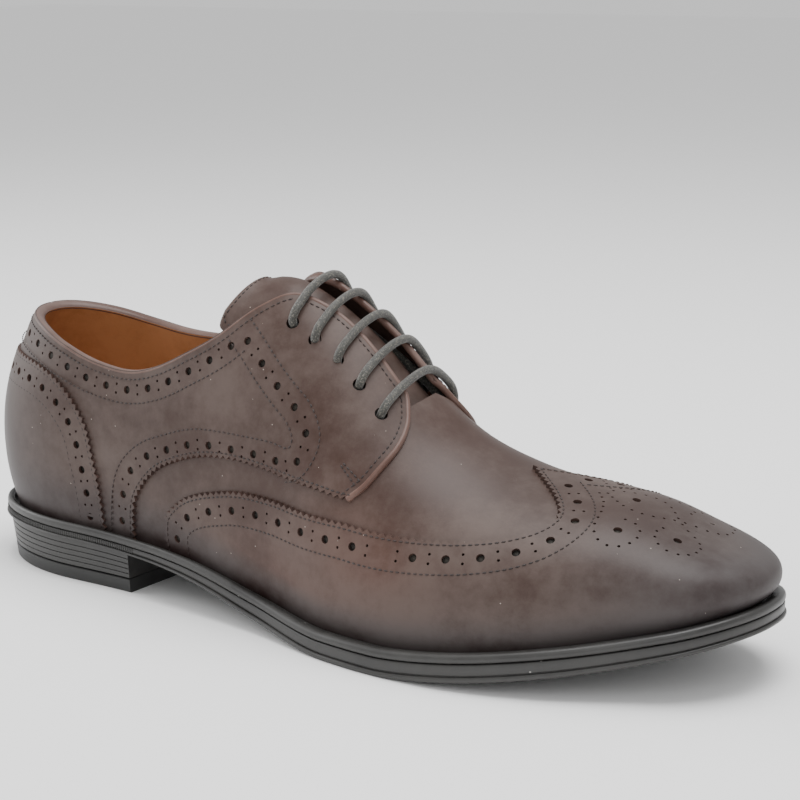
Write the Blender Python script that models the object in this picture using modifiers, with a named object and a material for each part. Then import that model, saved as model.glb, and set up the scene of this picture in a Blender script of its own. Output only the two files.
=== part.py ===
"""Right wing-tip brogue shoe with open lacing, modelled as the pieces that a shoemaker puts together.

Metres, +Z up, +X towards the toe, +Y towards the big-toe side. The floor is z = 0.
"""

import math

import bmesh
import bpy
from mathutils import Matrix, Vector

MM = 0.001

# Last
LAST_LENGTH = 297 * MM
BALL_WIDTH = 97 * MM
INSTEP_HEIGHT = 105 * MM
GIRDLE_HEIGHT = 21 * MM
HEEL_HEIGHT = 16 * MM
TOE_SPRING = 19.5 * MM
HEEL_ROUND = 50 * MM
HEEL_FULLNESS = 2.2
TOE_ROUND = 19 * MM
TOE_FULLNESS = 2.3
TOE_SET_BACK = 22 * MM
HEEL_LEAN = 51 * MM
FEATHER_TUCK = 1.6 * MM
HEEL_BULGE = 3.2 * MM
TOE_BULGE = 4.0 * MM
BULGE_LENGTH = 60 * MM
HEEL_LEAN_END = 0.45
TOE_SET_BACK_START = 0.72

# Layers of the upper, counted inwards from the outer skin
OVERLAY = 1.3 * MM
WALL = 2.0 * MM
LAYER_GAP = 0.6 * MM
SEAM_GAP = 0.8 * MM
BACK_SEAM = 1.0 * MM
FACING_SLOT = 4.6 * MM
THROAT_ROUND = 5 * MM

# Lacing
EYELET_RADIUS = 2.2 * MM
EYELET_PITCH = 9.1 * MM
EYELET_COUNT = 5
EYELET_SETBACK = 14.5 * MM
FACING_TOP = 158 * MM
FIRST_EYELET = 141 * MM
LACE_RADIUS = 1.55 * MM
LACE_BEND = 2.3 * MM
LACE_GAP = 0.5 * MM
LACE_SIDE_STEP = 4.4 * MM

# Tongue
TONGUE_THICKNESS = 2.4 * MM
TONGUE_WIDTH = 62 * MM
TONGUE_DROP = 5.5 * MM
TONGUE_ARCH = 14 * MM
TONGUE_LEAN = 5 * MM
TONGUE_SWING = 1.5 * MM
TONGUE_SPREAD_OUTER = 0.70
TONGUE_SPREAD_INNER = 0.45

# Bottom
FIT_GAP = 0.3 * MM
SOLE_EDGE = 9 * MM
WELT_HEIGHT = 2.8 * MM
WELT_REACH_TOE = 5.0 * MM
WELT_REACH_HEEL = 2.6 * MM
WELT_WIDENS_FROM = 0.3
WELT_WIDENS_TO = 0.6
LIP = 0.5 * MM
INSOLE_THICKNESS = 3.0 * MM
INSOLE_GAP = 1.0 * MM
BREAST = 77 * MM
HEEL_TAPER = 1.6 * MM
HEEL_INSET = 0.5 * MM
LIFT_THICKNESS = 5.0 * MM

# How finely the curved pieces are divided
COLUMNS = 27
WING_ROWS = 7
PEAK_ROWS = 3
UPPER_ROWS = WING_ROWS + PEAK_ROWS + 1
QUARTER_ROWS = 7
COUNTER_ROWS = 7
CROWDING = 1.3
TOE_COLUMNS = 9
TONGUE_ROWS = 5
BOTTOM_COLUMNS = 28
END_ZONE = 0.2
STEP = 0.002
STRIDE = 0.01
THROAT_STEPS = (0, 0.6, 0.9, 1)


def table(columns, *rows):
    """A table's columns by name, each a tuple with one entry for each row."""
    return dict(zip(columns.split(), zip(*rows)))


# Plan and bottom of the last. station: share of LAST_LENGTH. outer, inner: widest line, shares of BALL_WIDTH.
# heel, toe: the sole's underside, shares of HEEL_HEIGHT and TOE_SPRING. edge: share of SOLE_EDGE.
LAST = table(
    "station outer inner heel toe edge",
    (0.00, 0.320, 0.320, 1.02, 0.00, 0.66),
    (0.12, 0.325, 0.325, 1.00, 0.00, 0.64),
    (0.25, 0.325, 0.310, 0.93, 0.00, 0.65),
    (0.36, 0.350, 0.280, 0.74, 0.00, 0.74),
    (0.47, 0.389, 0.280, 0.30, 0.00, 0.89),
    (0.58, 0.463, 0.360, 0.00, 0.00, 0.98),
    (0.66, 0.489, 0.459, 0.00, 0.00, 1.00),
    (0.74, 0.472, 0.510, 0.00, 0.12, 1.00),
    (0.83, 0.388, 0.485, 0.00, 0.34, 0.98),
    (0.92, 0.247, 0.392, 0.00, 0.64, 0.92),
    (1.00, 0.118, 0.309, 0.00, 1.00, 0.85),
)

# Ridge of the instep and toe. height: above the sole's edge, share of INSTEP_HEIGHT. swing: towards the big
# toe, share of BALL_WIDTH.
CREST = table(
    "station height swing",
    (0.00, 0.90, 0.00),
    (0.15, 0.95, 0.00),
    (0.30, 0.99, 0.00),
    (0.40, 1.00, 0.02),
    (0.48, 0.95, 0.03),
    (0.56, 0.82, 0.05),
    (0.64, 0.60, 0.05),
    (0.72, 0.47, 0.06),
    (0.80, 0.39, 0.07),
    (0.88, 0.31, 0.08),
    (0.95, 0.18, 0.09),
    (1.00, 0.07, 0.09),
)

# Fullness of the sections. girdle: height of the widest line above the sole's edge, share of GIRDLE_HEIGHT.
# side: how far a section stays upright at the side, share of its height. outer, inner: how far it stays flat at
# the ridge towards each side, shares of its width.
SECTION = table(
    "station girdle side outer inner",
    (0.00, 1.02, 0.55, 0.32, 0.32),
    (0.15, 1.00, 0.60, 0.35, 0.34),
    (0.30, 0.82, 0.62, 0.46, 0.40),
    (0.45, 0.63, 0.56, 0.63, 0.45),
    (0.60, 0.55, 0.43, 0.64, 0.44),
    (0.75, 0.57, 0.44, 0.60, 0.56),
    (0.90, 0.46, 0.58, 0.64, 0.64),
    (1.00, 0.26, 0.64, 0.58, 0.58),
)

# Top line and facing edge of the quarters. outer, inner: share of the way from the widest line to the ridge.
COLLAR = table(
    "station outer inner",
    (0.00, 0.44, 0.44),
    (0.06, 0.395, 0.395),
    (0.13, 0.335, 0.345),
    (0.20, 0.29, 0.32),
    (0.26, 0.29, 0.33),
    (0.33, 0.37, 0.40),
    (0.39, 0.50, 0.55),
    (0.43, 0.66, 0.76),
    (0.46, 0.79, 0.88),
    (0.49, 0.84, 0.91),
    (0.60, 0.86, 0.94),
    (1.00, 0.86, 0.94),
)

# Edge of the counter, from the back of the heel down to the feather line.
COUNTER = table(
    "station rise",
    (0.000, 0.297),
    (0.050, 0.282),
    (0.100, 0.258),
    (0.140, 0.22),
    (0.170, 0.17),
    (0.193, 0.11),
    (0.206, 0.03),
    (0.214, -0.30),
    (0.217, -1.00),
)

# Quarter in front of the counter. foot, rise: its lower edge, along the feather line, up the curved edge and
# up the front. head: station on the collar or facing that the row runs to.
QUARTER = table(
    "foot rise head",
    (0.240, -1.00, 0.240),
    (0.262, -1.00, 0.262),
    (0.266, -0.50, 0.274),
    (0.272, -0.12, 0.286),
    (0.286, 0.02, 0.300),
    (0.310, 0.065, 0.320),
    (0.333, 0.095, 0.342),
    (0.363, 0.127, 0.368),
    (0.393, 0.155, 0.395),
    (0.423, 0.180, 0.420),
    (0.463, 0.208, 0.452),
    (0.502, 0.237, 0.484),
    (0.530, 0.265, 0.508),
    (0.557, 0.297, 0.530),
    (0.580, 0.325, 0.548),
    (0.596, 0.350, 0.562),
    (0.610, 0.430, 0.573),
    (0.621, 0.546, 0.584),
    (0.627, 0.675, 0.593),
    (0.622, 0.775, 0.600),
    (0.610, 0.840, 0.604),
)

# Lower edge of the wing cap's opening on each side: its rear end, along the side and up to the front of the curl.
WING_SIDE = table(
    "station rise",
    (0.314, -0.55),
    (0.323, -0.10),
    (0.344, 0.035),
    (0.384, 0.078),
    (0.425, 0.109),
    (0.484, 0.156),
    (0.544, 0.208),
    (0.605, 0.286),
    (0.666, 0.362),
    (0.710, 0.406),
    (0.745, 0.447),
    (0.780, 0.505),
    (0.800, 0.570),
    (0.806, 0.610),
    (0.810, 0.660),
)

# Upper edge of the wing cap's opening: from the peak on the ridge down to the front of the curl.
WING_PEAK = table(
    "station rise",
    (0.738, 0.990),
    (0.750, 0.955),
    (0.765, 0.910),
    (0.783, 0.850),
    (0.797, 0.790),
    (0.806, 0.735),
    (0.810, 0.690),
)

# Tongue. width: share of TONGUE_WIDTH. sink: share of the room that the lace needs under the facings. free: how
# far it leaves the section of the last for the arch of its free end.
TONGUE = table(
    "station width sink free",
    (0.384, 0.80, 1.0, 1.00),
    (0.388, 0.93, 1.2, 0.97),
    (0.397, 1.00, 1.6, 0.80),
    (0.415, 1.00, 2.0, 0.30),
    (0.445, 1.00, 1.4, 0.00),
    (0.490, 0.97, 1.0, 0.00),
    (0.545, 0.92, 1.2, 0.00),
    (0.600, 0.86, 1.5, 0.00),
    (0.635, 0.78, 0.9, 0.00),
    (0.660, 0.70, 0.4, 0.00),
)

# Side of the outsole, from its top to its underside. out: share of LIP beyond the welt. drop: share of the
# height of the side.
SOLE_SIDE = table(
    "out drop",
    (-3.0, 0.00),
    (-0.6, 0.06),
    (-0.6, 0.66),
    (1.0, 0.74),
    (1.0, 0.92),
    (-1.0, 1.00),
)

# Section of the welt. out: share of its reach. up: share of its height.
WELT_SECTION = table(
    "out up",
    (0.00, 0.00),
    (0.90, 0.00),
    (1.00, 0.40),
    (0.92, 0.80),
    (0.60, 1.00),
    (0.00, 0.95),
)

LEATHER = (0.125, 0.068, 0.046)
LEATHER_DARK = (0.060, 0.036, 0.030)
LINING_TAN = (0.52, 0.25, 0.09)
RUBBER = (0.020, 0.019, 0.018)
RUBBER_LIFT = (0.013, 0.013, 0.013)
WAXED_CORD = (0.055, 0.055, 0.045)


def spline(stations, values, at):
    """Smooth curve through the rows of a table, read at one station."""
    at = min(max(at, stations[0]), stations[-1])
    last = len(stations) - 2
    i = max(k for k in range(last + 1) if stations[k] <= at)
    span = stations[i + 1] - stations[i]
    slope = (values[i + 1] - values[i]) / span

    def tangent(k):
        if k == 0 or k == last + 1:
            return slope
        before = stations[k] - stations[k - 1]
        after = stations[k + 1] - stations[k]
        low = (values[k] - values[k - 1]) / before
        high = (values[k + 1] - values[k]) / after
        return (low * after + high * before) / (before + after)

    t = (at - stations[i]) / span
    start = (1 + 2 * t) * (1 - t) ** 2 * values[i] + t * (1 - t) ** 2 * span * tangent(i)
    end = t * t * (3 - 2 * t) * values[i + 1] + t * t * (t - 1) * span * tangent(i + 1)
    return start + end


def read(rows, column, station):
    """A column of a table at one station."""
    return spline(rows["station"], rows[column], station)


def station_of(turn):
    """Share of the length at a turn from heel (0) to toe (1), which closes up towards both ends."""
    near_end = min(turn, 1 - turn)
    near = near_end ** 2 / (2 * END_ZONE) if near_end < END_ZONE else near_end - END_ZONE / 2
    near /= 1 - END_ZONE
    return near if turn < 0.5 else 1 - near


def turn_of(station):
    """The turn at a share of the length."""
    near = min(station, 1 - station) * (1 - END_ZONE)
    near_end = math.sqrt(2 * END_ZONE * near) if near < END_ZONE / 2 else near + END_ZONE / 2
    return near_end if station < 0.5 else 1 - near_end


def wrapped(turn):
    """A turn that passes the toe goes on along the other side."""
    if turn > 1:
        return turn - 2
    if turn < -1:
        return turn + 2
    return turn


def rounding(station):
    """Share of the half width that is left where the plan rounds off at heel and toe."""
    heel = max(0.0, 1 - station * LAST_LENGTH / HEEL_ROUND)
    toe = max(0.0, 1 - (1 - station) * LAST_LENGTH / TOE_ROUND)
    at_heel = (1 - heel ** HEEL_FULLNESS) ** (1 / HEEL_FULLNESS)
    at_toe = (1 - toe ** TOE_FULLNESS) ** (1 / TOE_FULLNESS)
    return at_heel * at_toe


def plan(turn):
    """Widest line of the last seen from above. The outer side has negative turns."""
    station = station_of(abs(turn))
    outer = read(LAST, "outer", station) * BALL_WIDTH
    inner = read(LAST, "inner", station) * BALL_WIDTH
    side = -1 if turn < 0 else 1
    middle = (inner - outer) / 2
    return Vector((station * LAST_LENGTH, middle + side * rounding(station) * (inner + outer) / 2, 0))


def plan_out(turn, out):
    """The widest line seen from above, moved outwards."""
    along = plan(wrapped(turn + STEP)) - plan(wrapped(turn - STEP))
    return plan(turn) + Vector((-along.y, along.x, 0)).normalized() * out


def under_height(station):
    """Height of the sole's underside."""
    height = read(LAST, "heel", station) * HEEL_HEIGHT + read(LAST, "toe", station) * TOE_SPRING
    return max(0.0, height)


def edge_height(station):
    """Height of the welt's top."""
    return under_height(station) + read(LAST, "edge", station) * SOLE_EDGE


def seat_height(station):
    """Height of the outsole's top, on which upper, welt and insole stand."""
    return edge_height(station) - WELT_HEIGHT - FIT_GAP


def welt_reach(station):
    """How far the welt stands out beyond the widest line."""
    share = min(max((station - WELT_WIDENS_FROM) / (WELT_WIDENS_TO - WELT_WIDENS_FROM), 0), 1)
    return WELT_REACH_HEEL + (WELT_REACH_TOE - WELT_REACH_HEEL) * share


def bulge(station):
    """How far the upper swells out over its foot at the heel and at the toe."""
    heel = max(0.0, 1 - station * LAST_LENGTH / BULGE_LENGTH) ** 2
    toe = max(0.0, 1 - (1 - station) * LAST_LENGTH / BULGE_LENGTH) ** 2
    return heel * HEEL_BULGE + toe * TOE_BULGE


def girdle_height(station):
    """Height of the upper's widest line."""
    return edge_height(station) + read(SECTION, "girdle", station) * GIRDLE_HEIGHT


def foot_height(station):
    """Height of the feather line, in which the upper ends below."""
    return seat_height(station) + 2 * FIT_GAP


def overhang(station):
    """How far the upper stands out beyond the widest line of the plan at the height of the welt's top."""
    rise = (edge_height(station) - foot_height(station)) / (girdle_height(station) - foot_height(station))
    return max(0.0, bulge(station) - (bulge(station) + FEATHER_TUCK) * (1 - rise) ** 2)


def crest_height(station):
    """Height of the ridge."""
    return edge_height(station) + read(CREST, "height", station) * INSTEP_HEIGHT


def crest_point(station):
    """Point of the ridge in which the two halves of a section meet."""
    toe = max((station - TOE_SET_BACK_START) / (1 - TOE_SET_BACK_START), 0) ** 3 * TOE_SET_BACK / LAST_LENGTH
    heel = max(1 - station / HEEL_LEAN_END, 0) ** 2 * HEEL_LEAN / LAST_LENGTH
    along = station - toe + heel
    swing = read(CREST, "swing", along) * BALL_WIDTH
    return Vector((along * LAST_LENGTH, swing, crest_height(along)))


def crest_slope(station):
    """Slope of the ridge where crest_point lies."""
    x = crest_point(station).x / LAST_LENGTH
    return (crest_height(x + STEP) - crest_height(x - STEP)) / (2 * STEP * LAST_LENGTH)


def skin_point(turn, rise):
    """Outer skin of the upper. rise is -1 at the feather line, 0 at the widest line and 1 at the ridge."""
    station = station_of(abs(turn))
    girdle = plan_out(turn, bulge(station))
    girdle.z = girdle_height(station)
    if rise < 0:
        foot = plan_out(turn, -FEATHER_TUCK)
        foot.z = foot_height(station)
        pull = girdle.copy()
        pull.z = (girdle.z + foot.z) / 2
        t = rise + 1
        return foot * (1 - t) ** 2 + pull * 2 * t * (1 - t) + girdle * t * t
    crest = crest_point(station)
    side = girdle + Vector((0, 0, read(SECTION, "side", station) * (crest.z - girdle.z)))
    across = crest - girdle
    across.z = crest_slope(station) * across.x
    top = crest - across * read(SECTION, "outer" if turn < 0 else "inner", station)
    t = rise
    return (
        girdle * (1 - t) ** 3 + side * 3 * t * (1 - t) ** 2 + top * 3 * t * t * (1 - t) + crest * t ** 3
    )


def skin_normal(turn, rise):
    """Outward direction of the skin."""
    if rise > 1 - STEP:
        return Vector((-crest_slope(station_of(abs(turn))), 0, 1)).normalized()
    along = skin_point(wrapped(turn + STEP), rise) - skin_point(wrapped(turn - STEP), rise)
    up = skin_point(turn, rise + STEP) - skin_point(turn, max(-1, rise - STEP))
    return up.cross(along).normalized()


def skin(turn, rise, depth=0.0):
    """Point at a depth below the outer skin."""
    point = skin_point(turn, rise)
    return point - skin_normal(turn, rise) * depth if depth else point


def collar_rise(side, station):
    """Rise of the top line or facing edge."""
    return read(COLLAR, "outer" if side < 0 else "inner", station)


def climb(side, station, rise, distance):
    """Rise that lies a distance further up the section."""
    turn = side * turn_of(station)
    low = min(rise, 1 - STEP) - STEP
    pace = (skin_point(turn, low + 2 * STEP) - skin_point(turn, low)).length / (2 * STEP)
    return rise + distance / pace


def slide(side, station, depth, distance):
    """Rise that lies a distance down from the ridge, along the section at a depth."""
    turn = side * turn_of(station)
    rise = 1.0
    here = skin(turn, rise, depth)
    while rise > 0:
        below = skin(turn, rise - STRIDE, depth)
        length = (below - here).length
        if length > distance:
            return rise - STRIDE * distance / length
        distance -= length
        rise -= STRIDE
        here = below
    return rise


def eyelet_station(index):
    """Station of an eyelet, counted from the top."""
    return (FIRST_EYELET + index * EYELET_PITCH) / LAST_LENGTH


def eyelet_rise(side, station, shift=0.0):
    """Rise of the row of eyelets, or of a line beside it, shifted towards the ridge."""
    edge = collar_rise(side, max(station, FACING_TOP / LAST_LENGTH))
    return climb(side, station, edge, shift - EYELET_SETBACK)


def material(name, colour, roughness):
    """Plain finish for one piece."""
    made = bpy.data.materials.new(name)
    made.use_nodes = True
    shader = made.node_tree.nodes["Principled BSDF"]
    shader.inputs["Base Color"].default_value = (*colour, 1)
    shader.inputs["Roughness"].default_value = roughness
    shader.inputs["Metallic"].default_value = 0
    made.diffuse_color = (*colour, 1)
    return made


def add_piece(name, mesh, finish):
    """Object of one piece in the shoe's collection, smooth except at its sharp edges."""
    mesh.materials.append(finish)
    mesh.shade_smooth()
    mesh.set_sharp_from_angle(angle=math.radians(40))
    piece = bpy.data.objects.new(name, mesh)
    piece.parent = SHOE_ORIGIN
    SHOE.objects.link(piece)
    return piece


def sheet(name, grids, depth, thickness, finish):
    """Wall over grids of (turn, rise) rows, its outer face at a depth below the skin and grown inwards."""
    form = bmesh.new()
    for grid in grids:
        points = [[form.verts.new(skin(turn, rise, depth)) for turn, rise in line] for line in grid]
        for left, right in zip(points, points[1:]):
            for k in range(len(left) - 1):
                form.faces.new((left[k], left[k + 1], right[k + 1], right[k]))
    bmesh.ops.remove_doubles(form, verts=form.verts, dist=MM / 50)
    bmesh.ops.triangulate(form, faces=form.faces, quad_method="SHORT_EDGE")
    mesh = bpy.data.meshes.new(name)
    form.to_mesh(mesh)
    form.free()
    piece = add_piece(name, mesh, finish)
    wall = piece.modifiers.new("Wall", "SOLIDIFY")
    wall.thickness = thickness
    wall.offset = -1
    return piece


def rises_between(foot, head, rows):
    """Rises of a line. Two of its steps lie below the widest line and the next ones close to it."""
    if foot >= 0 or head <= 0:
        return [foot + (head - foot) * k / rows for k in range(rows + 1)]
    above = [head * (k / (rows - 2)) ** CROWDING for k in range(rows - 1)]
    return [foot, foot / 2] + above


def ladder(feet, heads, rows):
    """Lines of (turn, rise) from feet to heads."""
    lines = []
    for (start, foot), (end, head) in zip(feet, heads):
        rises = rises_between(foot, head, rows)
        lines.append([(start + (end - start) * k / rows, rise) for k, rise in enumerate(rises)])
    return lines


def outward(lines, side):
    """Lines in the order that turns their faces outwards on this side of the shoe."""
    return [[(side * turn, rise) for turn, rise in line] for line in (lines if side > 0 else lines[::-1])]


def slot_rise(side, station):
    """Upper edge of the base: the top line, the slot outside the eyelets, or the ridge in front of the throat."""
    start = eyelet_station(0) - EYELET_SETBACK / LAST_LENGTH
    if station <= start:
        return collar_rise(side, station)
    low = min(collar_rise(side, station), eyelet_rise(side, station, -FACING_SLOT))
    share = (station - eyelet_station(EYELET_COUNT - 1)) * LAST_LENGTH / THROAT_ROUND
    if share >= 1 - STEP:
        return 1.0
    return 1 - (1 - low) * math.sqrt(1 - max(share, 0) ** 2)


def toe_turns():
    """Turns of the lines in front of the wing cap's opening, which base and cap share."""
    start = turn_of(WING_SIDE["station"][-1])
    return [start + (1 - start) * k / TOE_COLUMNS for k in range(TOE_COLUMNS + 1)]


def side_rises(top):
    """Rises of a line of the wing cap below its opening."""
    return rises_between(-1.0, top, WING_ROWS)


def peak_rises(low):
    """Rises of a line of the wing cap above its opening."""
    return [low + (1 - low) * k / PEAK_ROWS for k in range(PEAK_ROWS + 1)]


def toe_rises():
    """Rises of the lines over the toe, which base and cap share."""
    return side_rises(WING_SIDE["rise"][-1]) + peak_rises(WING_PEAK["rise"][-1])


def make_upper():
    """Hollow base of the upper, open at the collar, at the throat between the facings, and underneath."""
    last_eyelet = eyelet_station(EYELET_COUNT - 1)
    throat = [turn_of(last_eyelet + share * THROAT_ROUND / LAST_LENGTH) for share in THROAT_STEPS]
    toe = toe_turns()
    turns = [k / COLUMNS for k in range(COLUMNS) if k + 0.5 < toe[0] * COLUMNS]
    turns = sorted(turns + throat) + toe
    closed = toe_rises()
    grids = []
    for side in (-1, 1):
        lines = []
        for turn in turns:
            top = slot_rise(side, station_of(turn))
            rises = rises_between(-1.0, top, UPPER_ROWS) if top < 1 else closed
            lines.append([(turn, rise) for rise in rises])
        grids.append(outward(lines, side))
    finish = material("vamp leather", LEATHER, 0.5)
    sheet("upper", grids, OVERLAY + LAYER_GAP, WALL, finish)


def counter_edge():
    """Edge of the counter as (turn, rise), from the back of the heel to the feather line."""
    steep = COUNTER["station"][-4:]
    turns = [k / COLUMNS for k in range(COLUMNS) if station_of(k / COLUMNS) < steep[0] - STEP]
    edge = [(turn, read(COUNTER, "rise", station_of(turn))) for turn in turns]
    return edge + [(turn_of(station), read(COUNTER, "rise", station)) for station in steep]


def make_counter():
    """Heel counter, round the back from feather line to feather line."""
    edge = counter_edge()
    feet = [(turn, -1.0) for turn, _ in edge]
    heads = [(turn, max(rise, -0.9)) for turn, rise in edge]
    lines = ladder(feet, heads, COUNTER_ROWS)
    whole = outward(lines, -1) + outward(lines, 1)[1:]
    sheet("counter", [whole], 0.0, OVERLAY, material("counter leather", LEATHER_DARK, 0.45))


def quarter_lines(side):
    """Rows of a quarter, from the back seam along counter, feather line and curved edge to the facing."""
    gap_along = SEAM_GAP / LAST_LENGTH
    seam = BACK_SEAM / 2 * STEP / plan(STEP).y
    feet = []
    heads = []
    for turn, rise in counter_edge():
        station = station_of(turn) + gap_along
        turn = turn_of(station) if turn else seam
        foot = climb(1, station, rise, SEAM_GAP) if rise > -1 else rise
        feet.append((turn, foot))
        heads.append((turn, collar_rise(side, station_of(turn))))
    for foot, rise, head in zip(QUARTER["foot"], QUARTER["rise"], QUARTER["head"]):
        feet.append((turn_of(foot), rise))
        heads.append((turn_of(head), collar_rise(side, head)))
    return ladder(feet, heads, QUARTER_ROWS)


def eyelet_cutter(name, side):
    """Punches for one facing."""
    form = bmesh.new()
    for index in range(EYELET_COUNT):
        station = eyelet_station(index)
        turn = side * turn_of(station)
        rise = eyelet_rise(side, station)
        axis = skin_normal(turn, rise).to_track_quat("Z", "Y").to_matrix().to_4x4()
        place = Matrix.Translation(skin(turn, rise, OVERLAY / 2)) @ axis
        bmesh.ops.create_cone(
            form, cap_ends=True, segments=8, radius1=EYELET_RADIUS, radius2=EYELET_RADIUS,
            depth=4 * OVERLAY, matrix=place,
        )
    mesh = bpy.data.meshes.new(name)
    form.to_mesh(mesh)
    form.free()
    cutter = bpy.data.objects.new(name, mesh)
    cutter.parent = SHOE_ORIGIN
    cutter.hide_render = True
    cutter.display_type = "WIRE"
    CUTTERS.objects.link(cutter)
    return cutter


def make_quarters():
    """Lacing quarters, which lie over the vamp, with their punched eyelets."""
    finish = material("quarter leather", LEATHER, 0.5)
    for name, side in (("quarter_lateral", -1), ("quarter_medial", 1)):
        piece = sheet(name, [outward(quarter_lines(side), side)], 0.0, OVERLAY, finish)
        punch = piece.modifiers.new("Eyelets", "BOOLEAN")
        punch.operation = "DIFFERENCE"
        punch.object = eyelet_cutter(name + "_punch", side)


def wing_lines():
    """Three grids of rows: along the side, over the peak, and the whole front of the toe."""
    side = [
        [(turn_of(station), rise) for rise in side_rises(top)]
        for station, top in zip(WING_SIDE["station"], WING_SIDE["rise"])
    ]
    peak = [
        [(turn_of(station), rise) for rise in peak_rises(low)]
        for station, low in zip(WING_PEAK["station"], WING_PEAK["rise"])
    ]
    front = [[(turn, rise) for rise in toe_rises()] for turn in toe_turns()]
    return side, peak, front


def make_wing_cap():
    """Winged toe cap: two halves that join along the ridge and down the middle of the toe."""
    grids = [outward(lines, side) for side in (-1, 1) for lines in wing_lines()]
    sheet("wing_cap", grids, 0.0, OVERLAY, material("wing leather", LEATHER_DARK, 0.42))


def lace_depth_under():
    """Depth of the lace's middle where it runs under the facings."""
    return OVERLAY + LACE_GAP + LACE_RADIUS


def make_tongue():
    """Tongue under the facings, low enough for the lace to run between."""
    room = lace_depth_under() + LACE_RADIUS + LACE_GAP - OVERLAY - LAYER_GAP - WALL
    grid = []
    form = bmesh.new()
    for station, width, sink, free in zip(*TONGUE.values()):
        depth = OVERLAY + LAYER_GAP + WALL + room * sink
        ridge = skin(turn_of(station), 1.0, depth)
        line = []
        for k in range(-TONGUE_ROWS, TONGUE_ROWS + 1):
            side = -1 if k < 0 else 1
            share = abs(k) / TONGUE_ROWS
            reach = share * width * TONGUE_WIDTH / 2
            held = skin(side * turn_of(station), slide(side, station, depth, reach), depth)
            down = (share * width) ** 2
            spread = reach * TONGUE_SPREAD_INNER if side > 0 else -reach * TONGUE_SPREAD_OUTER
            fall = Vector((-down * TONGUE_LEAN, spread - TONGUE_SWING, -TONGUE_DROP - down * TONGUE_ARCH))
            line.append(form.verts.new(held.lerp(ridge + fall, free)))
        grid.append(line)
    for back, front in zip(grid, grid[1:]):
        for k in range(len(back) - 1):
            form.faces.new((back[k], front[k], front[k + 1], back[k + 1]))
    mesh = bpy.data.meshes.new("tongue")
    form.to_mesh(mesh)
    form.free()
    piece = add_piece("tongue", mesh, material("tongue leather", LEATHER, 0.55))
    wall = piece.modifiers.new("Wall", "SOLIDIFY")
    wall.thickness = TONGUE_THICKNESS
    wall.offset = -1


def lace_route():
    """Middle line of the lace: up from the hidden end, then bar by bar to the top eyelets."""
    over = -(LACE_GAP + LACE_RADIUS)
    under = lace_depth_under()
    turn_in = LACE_BEND * (1 - math.cos(math.radians(45)))
    half_bend = LACE_BEND * math.sin(math.radians(45))
    points = []

    def hole(index, side, upwards):
        """Through an eyelet: bend out of the run below it, and into the bar above it."""
        station = eyelet_station(index)
        turn = side * turn_of(station)
        rise = eyelet_rise(side, station)
        to_bar = skin(turn, rise + STRIDE) - skin(turn, rise)
        to_bar.normalize()
        at = lambda depth, shift: skin(turn, rise, depth) + to_bar * shift
        lift = under - LACE_BEND
        steps = [
            at(under - turn_in, 0),
            at((lift + over + LACE_BEND) / 2, 0),
            at(over + turn_in, LACE_BEND - half_bend),
            at(over, LACE_BEND),
        ]
        points.extend(steps if upwards else steps[::-1])

    def bar(index, side):
        """Across the throat, from this side to the other: up one facing, straight over, down the other."""
        station = eyelet_station(index)
        for here, ways in ((side, (0.6, 1.0)), (-side, (1.0, 0.6))):
            rise = eyelet_rise(here, station)
            room = collar_rise(here, station) - rise
            points.extend(skin(here * turn_of(station), rise + room * way, over) for way in ways)

    def run(index, side, to_index):
        """Under the facing, from one eyelet towards the next."""
        for share in (0.35, 0.65):
            station = eyelet_station(index) * (1 - share) + eyelet_station(to_index) * share
            points.append(skin(side * turn_of(station), eyelet_rise(side, station), under))

    bottom = EYELET_COUNT - 1
    for index in range(bottom + 1):
        station = eyelet_station(index)
        points.append(skin(turn_of(station), eyelet_rise(1, station, LACE_SIDE_STEP), under))
    side = 1
    for index in range(bottom, -1, -1):
        hole(index, side, True)
        bar(index, side)
        side = -side
        hole(index, side, False)
        if index:
            run(index, side, index - 1)
    return points


def make_lace():
    """Waxed lace: five bars and the runs that join them under the facings, in one cord."""
    route = lace_route()
    curve = bpy.data.curves.new("lace", "CURVE")
    curve.dimensions = "3D"
    curve.bevel_depth = LACE_RADIUS
    curve.bevel_resolution = 2
    curve.use_fill_caps = True
    line = curve.splines.new("POLY")
    line.points.add(len(route) - 1)
    for point, place in zip(line.points, route):
        point.co = (*place, 1)
    curve.materials.append(material("waxed lace", WAXED_CORD, 0.6))
    piece = bpy.data.objects.new("lace", curve)
    piece.parent = SHOE_ORIGIN
    SHOE.objects.link(piece)


def ring(out, height, last_station=1.0, tilt=0.0):
    """Points round the bottom, heel to toe on the inner side and back on the outer, or open at a station.

    out and height are functions of the station. tilt moves the back of the heel forwards.
    """
    end = turn_of(last_station)
    turns = [end * k / BOTTOM_COLUMNS for k in range(BOTTOM_COLUMNS + 1)]
    inner = []
    outer = []
    for turn in turns:
        station = station_of(turn)
        for side, points in ((1, inner), (-1, outer)):
            point = plan_out(side * turn, out(station)) if turn else plan_out(0.0, out(0.0))
            point.x += tilt * (1 - station / last_station)
            point.z = height(station)
            points.append(point)
    return inner, outer


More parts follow.
